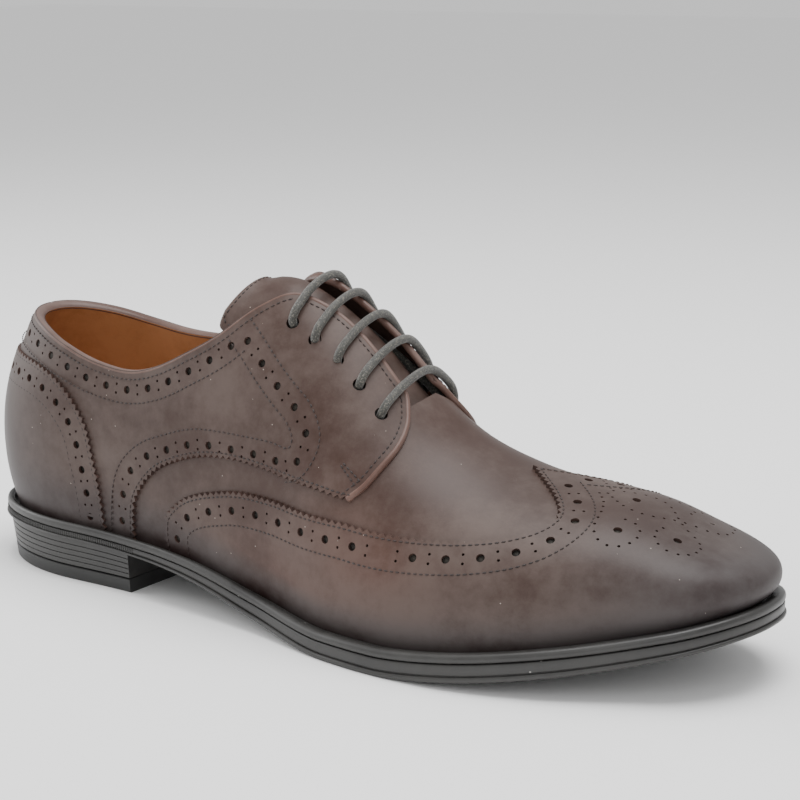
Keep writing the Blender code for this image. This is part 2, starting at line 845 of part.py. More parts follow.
def stack(name, rings, finish):
    """Solid through rings from top to bottom, closed by a top and an underside."""
    form = bmesh.new()
    levels = [[[form.verts.new(point) for point in half] for half in level] for level in rings]
    for inner, outer in (levels[0], levels[-1]):
        for k in range(len(inner) - 1):
            form.faces.new((inner[k], inner[k + 1], outer[k + 1], outer[k]))
    for above, below in zip(levels, levels[1:]):
        for half in (0, 1):
            high, low = above[half], below[half]
            for k in range(len(high) - 1):
                form.faces.new((high[k], high[k + 1], low[k + 1], low[k]))
        form.faces.new((above[0][-1], above[1][-1], below[1][-1], below[0][-1]))
    bmesh.ops.remove_doubles(form, verts=form.verts, dist=MM / 50)
    bmesh.ops.dissolve_degenerate(form, edges=form.edges, dist=MM / 100)
    bmesh.ops.recalc_face_normals(form, faces=form.faces)
    mesh = bpy.data.meshes.new(name)
    form.to_mesh(mesh)
    form.free()
    return add_piece(name, mesh, finish)


def make_insole():
    """Sock that covers the bottom of the inside."""
    inset = FEATHER_TUCK + OVERLAY + LAYER_GAP + WALL + INSOLE_GAP
    out = lambda station: -inset
    top = ring(out, lambda station: foot_height(station) + INSOLE_THICKNESS)
    under = ring(out, foot_height)
    stack("insole", [top, under], material("sock lining", LINING_TAN, 0.6))


def make_welt():
    """Rounded welt that rings the foot of the upper, just above the sole."""
    form = bmesh.new()
    loops = []
    count = 2 * BOTTOM_COLUMNS
    for k in range(count):
        turn = wrapped(k / BOTTOM_COLUMNS)
        station = station_of(abs(turn))
        inner_out = FIT_GAP + overhang(station)
        width = welt_reach(station) - inner_out
        base = seat_height(station) + FIT_GAP
        loops.append([
            form.verts.new(plan_out(turn, inner_out + out * width) + Vector((0, 0, base + up * WELT_HEIGHT)))
            for out, up in zip(WELT_SECTION["out"], WELT_SECTION["up"])
        ])
    for k in range(count):
        here, there = loops[k], loops[(k + 1) % count]
        for m in range(len(here)):
            n = (m + 1) % len(here)
            form.faces.new((here[m], there[m], there[n], here[n]))
    bmesh.ops.recalc_face_normals(form, faces=form.faces)
    mesh = bpy.data.meshes.new("welt")
    form.to_mesh(mesh)
    form.free()
    add_piece("welt", mesh, material("welt rubber", RUBBER, 0.5))


def make_outsole():
    """Rubber outsole with arch, toe spring, a rounded side and a lip along its lower edge."""
    rings = []
    for out, drop in zip(SOLE_SIDE["out"], SOLE_SIDE["drop"]):
        rings.append(ring(
            lambda station: welt_reach(station) + out * LIP,
            lambda station: seat_height(station) * (1 - drop) + under_height(station) * drop,
        ))
    stack("outsole", rings, material("sole rubber", RUBBER, 0.55))


def heel_out(share):
    """How far the heel stands out beyond the widest line, at a share of the way down from its top."""
    return lambda station: welt_reach(station) - LIP - HEEL_INSET - HEEL_TAPER * share / 2


def make_heel():
    """Stacked heel block under the outsole, and the rubber lift that it stands on."""
    end = BREAST / LAST_LENGTH
    top = ring(heel_out(0), lambda station: under_height(station) - FIT_GAP, end)
    seam = ring(heel_out(0.7), lambda station: LIFT_THICKNESS + FIT_GAP, end, HEEL_TAPER * 0.7)
    stack("heel_block", [top, seam], material("heel stack", RUBBER, 0.5))
    top = ring(heel_out(0.7), lambda station: LIFT_THICKNESS, end, HEEL_TAPER * 0.7)
    floor = ring(heel_out(1), lambda station: 0.0, end, HEEL_TAPER)
    stack("top_lift", [top, floor], material("lift rubber", RUBBER_LIFT, 0.6))


def middle_of_sole():
    """Middle of the outsole's outline, seen from above."""
    turns = [wrapped(k / 100) for k in range(200)]
    points = [plan_out(turn, welt_reach(station_of(abs(turn))) + LIP) for turn in turns]
    low = Vector((min(p.x for p in points), min(p.y for p in points), 0))
    high = Vector((max(p.x for p in points), max(p.y for p in points), 0))
    return (low + high) / 2


for old in list(bpy.data.objects):
    bpy.data.objects.remove(old, do_unlink=True)

SHOE = bpy.data.collections.new("brogue_shoe")
CUTTERS = bpy.data.collections.new("cutters")
for group in (SHOE, CUTTERS):
    bpy.context.scene.collection.children.link(group)

SHOE_ORIGIN = bpy.data.objects.new("shoe_origin", None)
SHOE_ORIGIN.location = -middle_of_sole()
SHOE.objects.link(SHOE_ORIGIN)

make_upper()
make_counter()
make_quarters()
make_wing_cap()
make_tongue()
make_lace()
make_insole()
make_welt()
make_outsole()
make_heel()
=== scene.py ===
"""Looks of a right wing-tip brogue shoe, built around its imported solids.

Metres, +X towards the toe, +Y towards the big-toe side, +Z up. The floor is z = 0.
"""

import logging
import math
from dataclasses import dataclass, field
from enum import Enum
from functools import cached_property
from typing import Callable, Sequence

import bmesh
import bpy
import numpy as np
from mathutils import Matrix, Vector
from mathutils.geometry import delaunay_2d_cdt
from mathutils.kdtree import KDTree

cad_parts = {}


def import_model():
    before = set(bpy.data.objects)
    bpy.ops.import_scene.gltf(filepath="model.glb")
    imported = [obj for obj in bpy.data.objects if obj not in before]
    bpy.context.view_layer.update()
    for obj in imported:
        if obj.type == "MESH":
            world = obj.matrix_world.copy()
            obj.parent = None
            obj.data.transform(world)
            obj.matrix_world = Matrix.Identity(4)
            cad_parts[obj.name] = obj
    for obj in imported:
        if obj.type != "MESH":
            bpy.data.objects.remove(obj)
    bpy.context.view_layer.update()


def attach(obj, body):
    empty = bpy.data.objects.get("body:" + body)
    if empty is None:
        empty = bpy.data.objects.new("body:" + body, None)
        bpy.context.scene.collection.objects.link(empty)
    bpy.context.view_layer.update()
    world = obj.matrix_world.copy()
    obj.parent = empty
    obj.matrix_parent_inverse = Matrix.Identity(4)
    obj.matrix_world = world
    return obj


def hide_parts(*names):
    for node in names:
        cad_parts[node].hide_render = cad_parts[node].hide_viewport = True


MM = 0.001
LOG = logging.getLogger("brogue")
Array = np.ndarray
Rows = dict[str, tuple[float, ...]]
Colour = tuple[float, float, float]
Piece = bpy.types.Object
Material = bpy.types.Material
Tree = bpy.types.NodeTree
Socket = bpy.types.NodeSocket
Node = bpy.types.Node

# Inputs of the trees that lay small shapes, and what each point tells them.
SIZES = ("Length", "Width", "Height")
CARRIED = (("along", "FLOAT_VECTOR"), ("out", "FLOAT_VECTOR"), ("size", "FLOAT"))

# Way that a rise covers below the widest line, as a share of what it covers above it.
LOW_PACE = 0.11

# Extent of the flat chart for a turn of 1 and for a rise of 1, nearly in millimetres.
FLAT_TURN = 340.0
FLAT_RISE = 62.0


def table(columns: str, *rows: tuple[float, ...]) -> Rows:
    """Field with a table's columns by name, each a tuple with one entry for each row."""
    return field(default_factory=lambda: dict(zip(columns.split(), zip(*rows))))


def smooth(places: Sequence[float], values: Sequence[float], at: Array) -> Array:
    """Read a smooth curve through the rows of a table.

    Args:
        places: Where the rows lie, rising.
        values: What they say there.
        at: Where the curve is read.

    Returns:
        The curve's value at each place.
    """
    xs = np.asarray(places, float)
    ys = np.asarray(values, float)
    at = np.clip(at, xs[0], xs[-1])
    span = np.diff(xs)
    slope = np.diff(ys) / span
    inner = (slope[:-1] * span[1:] + slope[1:] * span[:-1]) / (span[:-1] + span[1:])
    tangent = np.concatenate([slope[:1], inner, slope[-1:]])
    i = np.clip(np.searchsorted(xs, at, side="right") - 1, 0, len(xs) - 2)
    t = (at - xs[i]) / span[i]
    start = (1 + 2 * t) * (1 - t) ** 2 * ys[i] + t * (1 - t) ** 2 * span[i] * tangent[i]
    end = t * t * (3 - 2 * t) * ys[i + 1] + t * t * (t - 1) * span[i] * tangent[i + 1]
    return start + end


def even_rise(rise: Array) -> Array:
    """Rise at an even pace: below the widest line a step in the rise is a short one on the shoe."""
    return np.where(rise < 0, rise * LOW_PACE, rise)


def chart_rise(even: Array) -> Array:
    """Rise that belongs to an even one."""
    return np.where(even < 0, even / LOW_PACE, even)


def unit(vectors: Array) -> Array:
    """Vectors of length one."""
    return vectors / np.maximum(np.linalg.norm(vectors, axis=-1, keepdims=True), 1e-12)


def ease(value: Array, low: float, high: float) -> Array:
    """Soft step from 0 at low to 1 at high."""
    t = np.clip((value - low) / (high - low), 0, 1)
    return t * t * (3 - 2 * t)


def distances(points: Array, least: float = 0.0) -> Array:
    """Way along a line up to each of its points, where each step counts at least a little."""
    return np.concatenate([[0], np.cumsum(np.linalg.norm(np.diff(points, axis=0), axis=1) + least)])


def along_line(at: Array, walked: Array, values: Array) -> Array:
    """A line's vectors, read at some distances along it."""
    return np.stack([np.interp(at, walked, column) for column in values.T], axis=1)


def soften(values: Array) -> None:
    """Smooth a row of numbers in place, with its ends held."""
    values[1:-1] = (values[:-2] + values[1:-1] * 2 + values[2:]) / 4


def round_angles(corners: int) -> Array:
    """Angles of the corners of a regular outline."""
    return np.arange(corners) * 2 * math.pi / corners


@dataclass(frozen=True)
class Last:
    """Form of the shoe: the skin of the upper and the lines of the bottom.

    A point of the skin is given by its turn and its rise. The turn is 0 at the heel and 1 at the toe, and
    negative on the outer side. The rise is -1 at the feather line, 0 at the widest line and 1 at the ridge.
    """

    length: float = 297 * MM
    ball_width: float = 97 * MM
    instep_height: float = 105 * MM
    girdle_lift: float = 21 * MM
    heel_height: float = 16 * MM
    toe_spring: float = 19.5 * MM
    heel_round: float = 50 * MM
    heel_fullness: float = 2.2
    toe_round: float = 19 * MM
    toe_fullness: float = 2.3
    toe_set_back: float = 22 * MM
    toe_set_back_start: float = 0.72
    heel_lean: float = 51 * MM
    heel_lean_end: float = 0.45
    feather_tuck: float = 1.6 * MM
    heel_bulge: float = 3.2 * MM
    toe_bulge: float = 4.0 * MM
    bulge_length: float = 60 * MM
    fit_gap: float = 0.3 * MM
    sole_edge: float = 9 * MM
    welt_height: float = 2.8 * MM
    welt_reach_toe: float = 5.0 * MM
    welt_reach_heel: float = 2.6 * MM
    welt_widens_from: float = 0.3
    welt_widens_to: float = 0.6
    lip: float = 0.5 * MM
    end_zone: float = 0.2
    step: float = 0.002
    plan_rows: Rows = table(
        "station outer inner heel toe edge",
        (0.00, 0.320, 0.320, 1.02, 0.00, 0.66),
        (0.12, 0.325, 0.325, 1.00, 0.00, 0.64),
        (0.25, 0.325, 0.310, 0.93, 0.00, 0.65),
        (0.36, 0.350, 0.280, 0.74, 0.00, 0.74),
        (0.47, 0.389, 0.280, 0.30, 0.00, 0.89),
        (0.58, 0.463, 0.360, 0.00, 0.00, 0.98),
        (0.66, 0.489, 0.459, 0.00, 0.00, 1.00),
        (0.74, 0.472, 0.510, 0.00, 0.12, 1.00),
        (0.83, 0.388, 0.485, 0.00, 0.34, 0.98),
        (0.92, 0.247, 0.392, 0.00, 0.64, 0.92),
        (1.00, 0.118, 0.309, 0.00, 1.00, 0.85),
    )
    crest_rows: Rows = table(
        "station height swing",
        (0.00, 0.90, 0.00),
        (0.15, 0.95, 0.00),
        (0.30, 0.99, 0.00),
        (0.40, 1.00, 0.02),
        (0.48, 0.95, 0.03),
        (0.56, 0.82, 0.05),
        (0.64, 0.60, 0.05),
        (0.72, 0.47, 0.06),
        (0.80, 0.39, 0.07),
        (0.88, 0.31, 0.08),
        (0.95, 0.18, 0.09),
        (1.00, 0.07, 0.09),
    )
    section_rows: Rows = table(
        "station girdle side outer inner",
        (0.00, 1.02, 0.55, 0.32, 0.32),
        (0.15, 1.00, 0.60, 0.35, 0.34),
        (0.30, 0.82, 0.62, 0.46, 0.40),
        (0.45, 0.63, 0.56, 0.63, 0.45),
        (0.60, 0.55, 0.43, 0.64, 0.44),
        (0.75, 0.57, 0.44, 0.60, 0.56),
        (0.90, 0.46, 0.58, 0.64, 0.64),
        (1.00, 0.26, 0.64, 0.58, 0.58),
    )
    collar_rows: Rows = table(
        "station outer inner",
        (0.00, 0.44, 0.44),
        (0.06, 0.395, 0.395),
        (0.13, 0.335, 0.345),
        (0.20, 0.29, 0.32),
        (0.26, 0.29, 0.33),
        (0.33, 0.37, 0.40),
        (0.39, 0.50, 0.55),
        (0.43, 0.66, 0.76),
        (0.46, 0.79, 0.88),
        (0.49, 0.84, 0.91),
        (0.60, 0.86, 0.94),
        (1.00, 0.86, 0.94),
    )

    def read(self, rows: Rows, column: str, station: Array) -> Array:
        """A column of a table at each station."""
        return smooth(rows["station"], rows[column], station)

    def station_of(self, turn: Array) -> Array:
        """Share of the length at a turn from 0 to 1, which closes up towards both ends."""
        near_end = np.minimum(turn, 1 - turn)
        curved = near_end ** 2 / (2 * self.end_zone)
        near = np.where(near_end < self.end_zone, curved, near_end - self.end_zone / 2) / (1 - self.end_zone)
        return np.where(turn < 0.5, near, 1 - near)

    def turn_of(self, station: Array | float) -> Array:
        """The turn at a share of the length."""
        station = np.asarray(station, float)
        near = np.minimum(station, 1 - station) * (1 - self.end_zone)
        curved = np.sqrt(2 * self.end_zone * near)
        near_end = np.where(near < self.end_zone / 2, curved, near + self.end_zone / 2)
        return np.where(station < 0.5, near_end, 1 - near_end)

    def wrapped(self, turn: Array) -> Array:
        """A turn that passes the toe goes on along the other side."""
        return np.where(turn > 1, turn - 2, np.where(turn < -1, turn + 2, turn))

    def rounding(self, station: Array) -> Array:
        """Share of the half width that is left where the plan rounds off at heel and toe."""
        heel = np.maximum(0.0, 1 - station * self.length / self.heel_round)
        toe = np.maximum(0.0, 1 - (1 - station) * self.length / self.toe_round)
        at_heel = (1 - heel ** self.heel_fullness) ** (1 / self.heel_fullness)
        at_toe = (1 - toe ** self.toe_fullness) ** (1 / self.toe_fullness)
        return at_heel * at_toe

    def plan(self, turn: Array) -> Array:
        """Widest line seen from above."""
        station = self.station_of(np.abs(turn))
        outer = self.read(self.plan_rows, "outer", station) * self.ball_width
        inner = self.read(self.plan_rows, "inner", station) * self.ball_width
        side = np.where(turn < 0, -1, 1)
        across = (inner - outer) / 2 + side * self.rounding(station) * (inner + outer) / 2
        return np.stack([station * self.length, across, np.zeros_like(across)], axis=-1)

    def plan_out(self, turn: Array, out: Array | float) -> Array:
        """The widest line seen from above, moved outwards."""
        along = self.plan(self.wrapped(turn + self.step)) - self.plan(self.wrapped(turn - self.step))
        outwards = np.stack([-along[..., 1], along[..., 0], np.zeros_like(along[..., 0])], axis=-1)
        return self.plan(turn) + unit(outwards) * np.asarray(out)[..., None]

    def under_height(self, station: Array) -> Array:
        """Height of the sole's underside."""
        heel = self.read(self.plan_rows, "heel", station) * self.heel_height
        return np.maximum(0.0, heel + self.read(self.plan_rows, "toe", station) * self.toe_spring)

    def edge_height(self, station: Array) -> Array:
        """Height of the welt's top."""
        return self.under_height(station) + self.read(self.plan_rows, "edge", station) * self.sole_edge

    def seat_height(self, station: Array) -> Array:
        """Height of the outsole's top."""
        return self.edge_height(station) - self.welt_height - self.fit_gap

    def foot_height(self, station: Array) -> Array:
        """Height of the feather line."""
        return self.seat_height(station) + 2 * self.fit_gap

    def girdle_height(self, station: Array) -> Array:
        """Height of the upper's widest line."""
        return self.edge_height(station) + self.read(self.section_rows, "girdle", station) * self.girdle_lift

    def welt_reach(self, station: Array) -> Array:
        """How far the welt stands out beyond the widest line."""
        share = (station - self.welt_widens_from) / (self.welt_widens_to - self.welt_widens_from)
        return self.welt_reach_heel + (self.welt_reach_toe - self.welt_reach_heel) * np.clip(share, 0, 1)

    def bulge(self, station: Array) -> Array:
        """How far the upper swells out over its foot at the heel and at the toe."""
        heel = np.maximum(0.0, 1 - station * self.length / self.bulge_length) ** 2
        toe = np.maximum(0.0, 1 - (1 - station) * self.length / self.bulge_length) ** 2
        return heel * self.heel_bulge + toe * self.toe_bulge

    def overhang(self, station: Array) -> Array:
        """How far the upper stands out beyond the widest line of the plan at the height of the welt's top."""
        foot = self.foot_height(station)
        rise = (self.edge_height(station) - foot) / (self.girdle_height(station) - foot)
        swell = self.bulge(station)
        return np.maximum(0.0, swell - (swell + self.feather_tuck) * (1 - rise) ** 2)

    def crest_height(self, station: Array) -> Array:
        """Height of the ridge."""
        return self.edge_height(station) + self.read(self.crest_rows, "height", station) * self.instep_height

    def crest_along(self, station: Array) -> Array:
        """Where along the length the two halves of a section meet in the ridge."""
        toe = np.maximum((station - self.toe_set_back_start) / (1 - self.toe_set_back_start), 0) ** 3
        heel = np.maximum(1 - station / self.heel_lean_end, 0) ** 2
        return station + (heel * self.heel_lean - toe * self.toe_set_back) / self.length

    def crest_slope(self, station: Array) -> Array:
        """Slope of the ridge there."""
        x = self.crest_along(station)
        climb = self.crest_height(x + self.step) - self.crest_height(x - self.step)
        return climb / (2 * self.step * self.length)

    @cached_property
    def middle(self) -> Array:
        """Middle of the outsole's outline seen from above, over which the origin lies."""
        turn = self.wrapped(np.arange(200) / 100)
        points = self.plan_out(turn, self.welt_reach(self.station_of(np.abs(turn))) + self.lip)
        middle = (points.min(axis=0) + points.max(axis=0)) / 2
        middle[2] = 0
        return middle

    def point(self, turn: Array, rise: Array) -> Array:
        """Points of the skin."""
        turn = self.wrapped(np.asarray(turn, float))
        rise = np.asarray(rise, float)
        station = self.station_of(np.abs(turn))
        girdle = self.plan_out(turn, self.bulge(station))
        girdle[..., 2] = self.girdle_height(station)
        foot = self.plan_out(turn, -self.feather_tuck)
        foot[..., 2] = self.foot_height(station)
        pull = girdle.copy()
        pull[..., 2] = (girdle[..., 2] + foot[..., 2]) / 2
        t = (rise + 1)[..., None]
        low = foot * (1 - t) ** 2 + pull * 2 * t * (1 - t) + girdle * t * t
        along = self.crest_along(station)
        swing = self.read(self.crest_rows, "swing", along) * self.ball_width
        crest = np.stack([along * self.length, swing, self.crest_height(along)], axis=-1)
        side = girdle.copy()
        side[..., 2] += self.read(self.section_rows, "side", station) * (crest[..., 2] - girdle[..., 2])
        across = crest - girdle
        across[..., 2] = self.crest_slope(station) * across[..., 0]
        outer = self.read(self.section_rows, "outer", station)
        inner = self.read(self.section_rows, "inner", station)
        top = crest - across * np.where(turn < 0, outer, inner)[..., None]
        t = rise[..., None]
        high = girdle * (1 - t) ** 3 + side * 3 * t * (1 - t) ** 2
        high = high + top * 3 * t * t * (1 - t) + crest * t ** 3
        return np.where(t < 0, low, high) - self.middle

    def slopes(self, turn: Array, rise: Array) -> tuple[Array, Array]:
        """How the skin runs with the turn and with the rise."""
        h = self.step
        along = (self.point(turn + h, rise) - self.point(turn - h, rise)) / (2 * h)
        high = np.minimum(rise + h, 1.0)
        low = np.maximum(high - 2 * h, -1.0)
        up = (self.point(turn, high) - self.point(turn, low)) / (high - low)[..., None]
        return along, up

    def normal(self, turn: Array, rise: Array) -> Array:
        """Outward direction of the skin."""
        turn = np.asarray(turn, float)
        rise = np.asarray(rise, float)
        along, up = self.slopes(turn, rise)
        slope = self.crest_slope(self.station_of(np.abs(self.wrapped(turn))))
        ridge = unit(np.stack([-slope, np.zeros_like(slope), np.ones_like(slope)], axis=-1))
        return np.where((rise > 1 - self.step)[..., None], ridge, unit(np.cross(up, along)))

    def skin(self, turn: Array, rise: Array, depth: Array | float = 0.0) -> Array:
        """Points at a depth below the outer skin."""
        return self.point(turn, rise) - self.normal(turn, rise) * np.asarray(depth)[..., None]

    def collar_rise(self, side: int, station: Array) -> Array:
        """Rise of the top line or facing edge."""
        return self.read(self.collar_rows, "outer" if side < 0 else "inner", np.asarray(station, float))

    def climb(self, side: int, station: Array, rise: Array, distance: float) -> Array:
        """Rise that lies a distance further up the section."""
        turn = side * self.turn_of(station)
        low = np.minimum(rise, 1 - self.step) - self.step
        gap = self.point(turn, low + 2 * self.step) - self.point(turn, low)
        return rise + distance * 2 * self.step / np.linalg.norm(gap, axis=-1)

    def moved(self, turn: Array, rise: Array, move: Array, tries: int = 2) -> tuple[Array, Array]:
        """Turn and rise after a move along the skin, also across the widest line, where the pace changes."""
        wanted = self.point(turn, rise) + move
        for _ in range(tries):
            turn, rise = self.shifted(turn, rise, wanted - self.point(turn, rise))
        return turn, rise

    def shifted(self, turn: Array, rise: Array, move: Array) -> tuple[Array, Array]:
        """Turn and rise after a small move along the skin, in one step.

        Args:
            turn: Turns of the points.
            rise: Their rises.
            move: Small vectors along the skin.

        Returns:
            The new turns and rises.
        """
        along, up = self.slopes(turn, rise)
        aa = (along * along).sum(-1)
        bb = (up * up).sum(-1)
        ab = (along * up).sum(-1)
        ra = (along * move).sum(-1)
        rb = (up * move).sum(-1)
        det = aa * bb - ab * ab
        return turn + (bb * ra - ab * rb) / det, rise + (aa * rb - ab * ra) / det


@dataclass
class Seam:
    """A line on the skin, as turns and rises in walking order."""

    last: Last
    turn: Array
    rise: Array

    @classmethod
    def through(cls, last: Last, side: int, stations: Sequence[float], rises: Sequence[float],
                count: int) -> "Seam":
        """Smooth line through stations and rises on one side.

        Args:
            last: The form that it lies on.
            side: -1 for the outer side, 1 for the inner side.
            stations: Shares of the length.
            rises: Rises at those stations.
            count: How many points the line gets.

        Returns:
            The line.
        """
        turn = side * last.turn_of(np.asarray(stations, float))
        rise = np.asarray(rises, float)
        points = last.point(turn, rise)
        walked = distances(points, 1e-6)
        at = np.linspace(0, walked[-1], count)
        return cls(last, smooth(walked, turn, at), chart_rise(smooth(walked, even_rise(rise), at)))

    def points(self, depth: Array | float = 0.0) -> Array:
        """Its points in space."""
        return self.last.skin(self.turn, self.rise, depth)

    def part(self, keep: Array | slice) -> "Seam":
        """Only some of its points."""
        return Seam(self.last, self.turn[keep], self.rise[keep])

    def back(self) -> "Seam":
        """The line walked the other way."""
        return self.part(slice(None, None, -1))

    def above_foot(self) -> "Seam":
        """The part that lies above the feather line."""
        return self.part(self.rise > -0.97)

    def joined(self, other: "Seam") -> "Seam":
        """This line and another one after it."""
        turn = np.concatenate([self.turn, other.turn])
        return Seam(self.last, turn, np.concatenate([self.rise, other.rise]))

    def spaced(self, pitch: float, ends: bool = True) -> "Seam":
        """Points an even distance apart, nearly the pitch.

        Args:
            pitch: Wanted distance.
            ends: Whether the line's ends are among the points, or half a pitch away.

        Returns:
            The line through those points only.
        """
        points = self.points()
        walked = distances(points)
        count = max(2, round(walked[-1] / pitch))
        steps = np.arange(count + 1) / count if ends else (np.arange(count) + 0.5) / count
        at = steps * walked[-1]
        return Seam(self.last, np.interp(at, walked, self.turn), np.interp(at, walked, self.rise))

    def frames(self) -> tuple[Array, Array, Array]:
        """Direction of walking, direction to the left of it and outward direction at each point."""
        along = unit(np.gradient(self.points(), axis=0))
        out = self.last.normal(self.turn, self.rise)
        left = unit(np.cross(out, along))
        return unit(np.cross(left, out)), left, out

    def beside(self, distance: Array | float, steps: int = 6) -> "Seam":
        """Line at a distance to the right of this one, or to the left where it is negative."""
        turn, rise = self.turn.copy(), self.rise.copy()
        along, _, _ = self.frames()
        for _ in range(steps):
            out = self.last.normal(turn, rise)
            right = unit(np.cross(along, out))
            turn, rise = self.last.moved(turn, rise, right * (np.asarray(distance) / steps)[..., None])
        return Seam(self.last, turn, rise)

    def inset(self, distance: float) -> "Seam":
        """Line beside this one that stays clear of its tight bends and runs smoothly round them."""
        line = self.beside(distance, 8)
        away = np.linalg.norm(line.points()[:, None] - self.points()[None], axis=2).min(axis=1)
        keep = away > abs(distance) * 0.97
        keep[0] = keep[-1] = True
        line = Seam(self.last, line.turn[keep], line.rise[keep]).spaced(1 * MM)
        turn, even = line.turn, even_rise(line.rise)
        for _ in range(6):
            soften(turn)
            soften(even)
        return Seam(self.last, turn, chart_rise(even))

    def gimped(self, pitch: float, depth: float) -> "Seam":
        """The line cut in teeth whose notches lie to its right."""
        points = self.spaced(pitch / 2)
        odd = np.arange(len(points.turn)) % 2 == 1
        return points.beside(np.where(odd, depth, 0.0), 1)

    def flat_distance(self, unfold: "Unfold", turn: Array, rise: Array) -> Array:
        """How far some places lie from this line on the flat chart."""
        line = flat_of(unfold, self.turn, self.rise)
        return np.array([np.min(np.hypot(*(line - place).T)) for place in flat_of(unfold, turn, rise)])


class Unfold(Enum):
    """How a piece is laid flat for cutting: opened along the sole, or opened at the back."""

    OVER_RIDGE = "over the ridge"
    ROUND_SIDE = "round the side"


def flat_of(unfold: Unfold, turn: Array, rise: Array) -> Array:
    """Flat places, nearly in millimetres, of turns and rises."""
    if unfold is Unfold.ROUND_SIDE:
        return np.stack([turn * FLAT_TURN, rise * FLAT_RISE], axis=-1)
    side = np.where(turn < 0, -1, 1)
    return np.stack([np.abs(turn) * FLAT_TURN, side * (1 - rise) * FLAT_RISE], axis=-1)


def chart_of(unfold: Unfold, flat: Array) -> tuple[Array, Array]:
    """Turns and rises of flat places."""
    if unfold is Unfold.ROUND_SIDE:
        return flat[:, 0] / FLAT_TURN, flat[:, 1] / FLAT_RISE
    side = np.where(flat[:, 1] < 0, -1, 1)
    return side * flat[:, 0] / FLAT_TURN, 1 - np.abs(flat[:, 1]) / FLAT_RISE


def is_inside(points: Array, loop: Array) -> Array:
    """Which flat points lie inside a closed loop."""
    inside = np.zeros(len(points), bool)
    for (x0, y0), (x1, y1) in zip(loop, np.roll(loop, -1, axis=0)):
        if y0 == y1:
            continue
        crosses = (points[:, 1] < y0) != (points[:, 1] < y1)
        inside ^= crosses & (points[:, 0] < x0 + (points[:, 1] - y0) * (x1 - x0) / (y1 - y0))
    return inside


def new_object(name: str, points: Array, faces: Sequence[Sequence[int]]) -> Piece:
    """Object with a mesh of those points and faces."""
    mesh = bpy.data.meshes.new(name)
    mesh.from_pydata(points.tolist(), [], [tuple(map(int, face)) for face in faces])
    mesh.update()
    piece = bpy.data.objects.new(name, mesh)
    bpy.context.scene.collection.objects.link(piece)
    return piece


def tag_points(piece: Piece, name: str, values: Array) -> None:
    """Give each point of a mesh a number that its finish reads."""
    made = piece.data.attributes.new(name, "FLOAT", "POINT")
    made.data.foreach_set("value", np.asarray(values, np.float32))


def dress(piece: Piece, nodes: Sequence[str], finishes: Sequence[Material]) -> None:
    """Finish a piece and hand it to the frame.

    Args:
        piece: The finished mesh.
        nodes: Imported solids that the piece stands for.
        finishes: Materials, in the order of the faces' indices.
    """
    for finish in finishes:
        piece.data.materials.append(finish)
    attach(piece, "root")
    if nodes:
        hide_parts(*nodes)
    LOG.info("%s: %d faces", piece.name, len(piece.data.polygons))


def mend(piece: Piece, weld: float = 0.0, slim: float = 0.0, turn_out: bool = True) -> None:
    """Clean a mesh.

    Args:
        piece: The mesh's object.
        weld: Points nearer than this become one.
        slim: Edges and faces slimmer than this go.
        turn_out: Whether a closed mesh's faces are turned outwards.
    """
    form = bmesh.new()
    form.from_mesh(piece.data)
    if weld:
        bmesh.ops.remove_doubles(form, verts=form.verts, dist=weld)
    if slim:
        bmesh.ops.dissolve_degenerate(form, edges=form.edges, dist=slim)
    if turn_out:
        bmesh.ops.recalc_face_normals(form, faces=form.faces)
    form.to_mesh(piece.data)
    form.free()


def smooth_shaded(piece: Piece, degrees: float = 40) -> None:
    """Shade a piece smooth except at its sharp edges."""
    piece.data.shade_smooth()
    piece.data.set_sharp_from_angle(angle=math.radians(degrees))


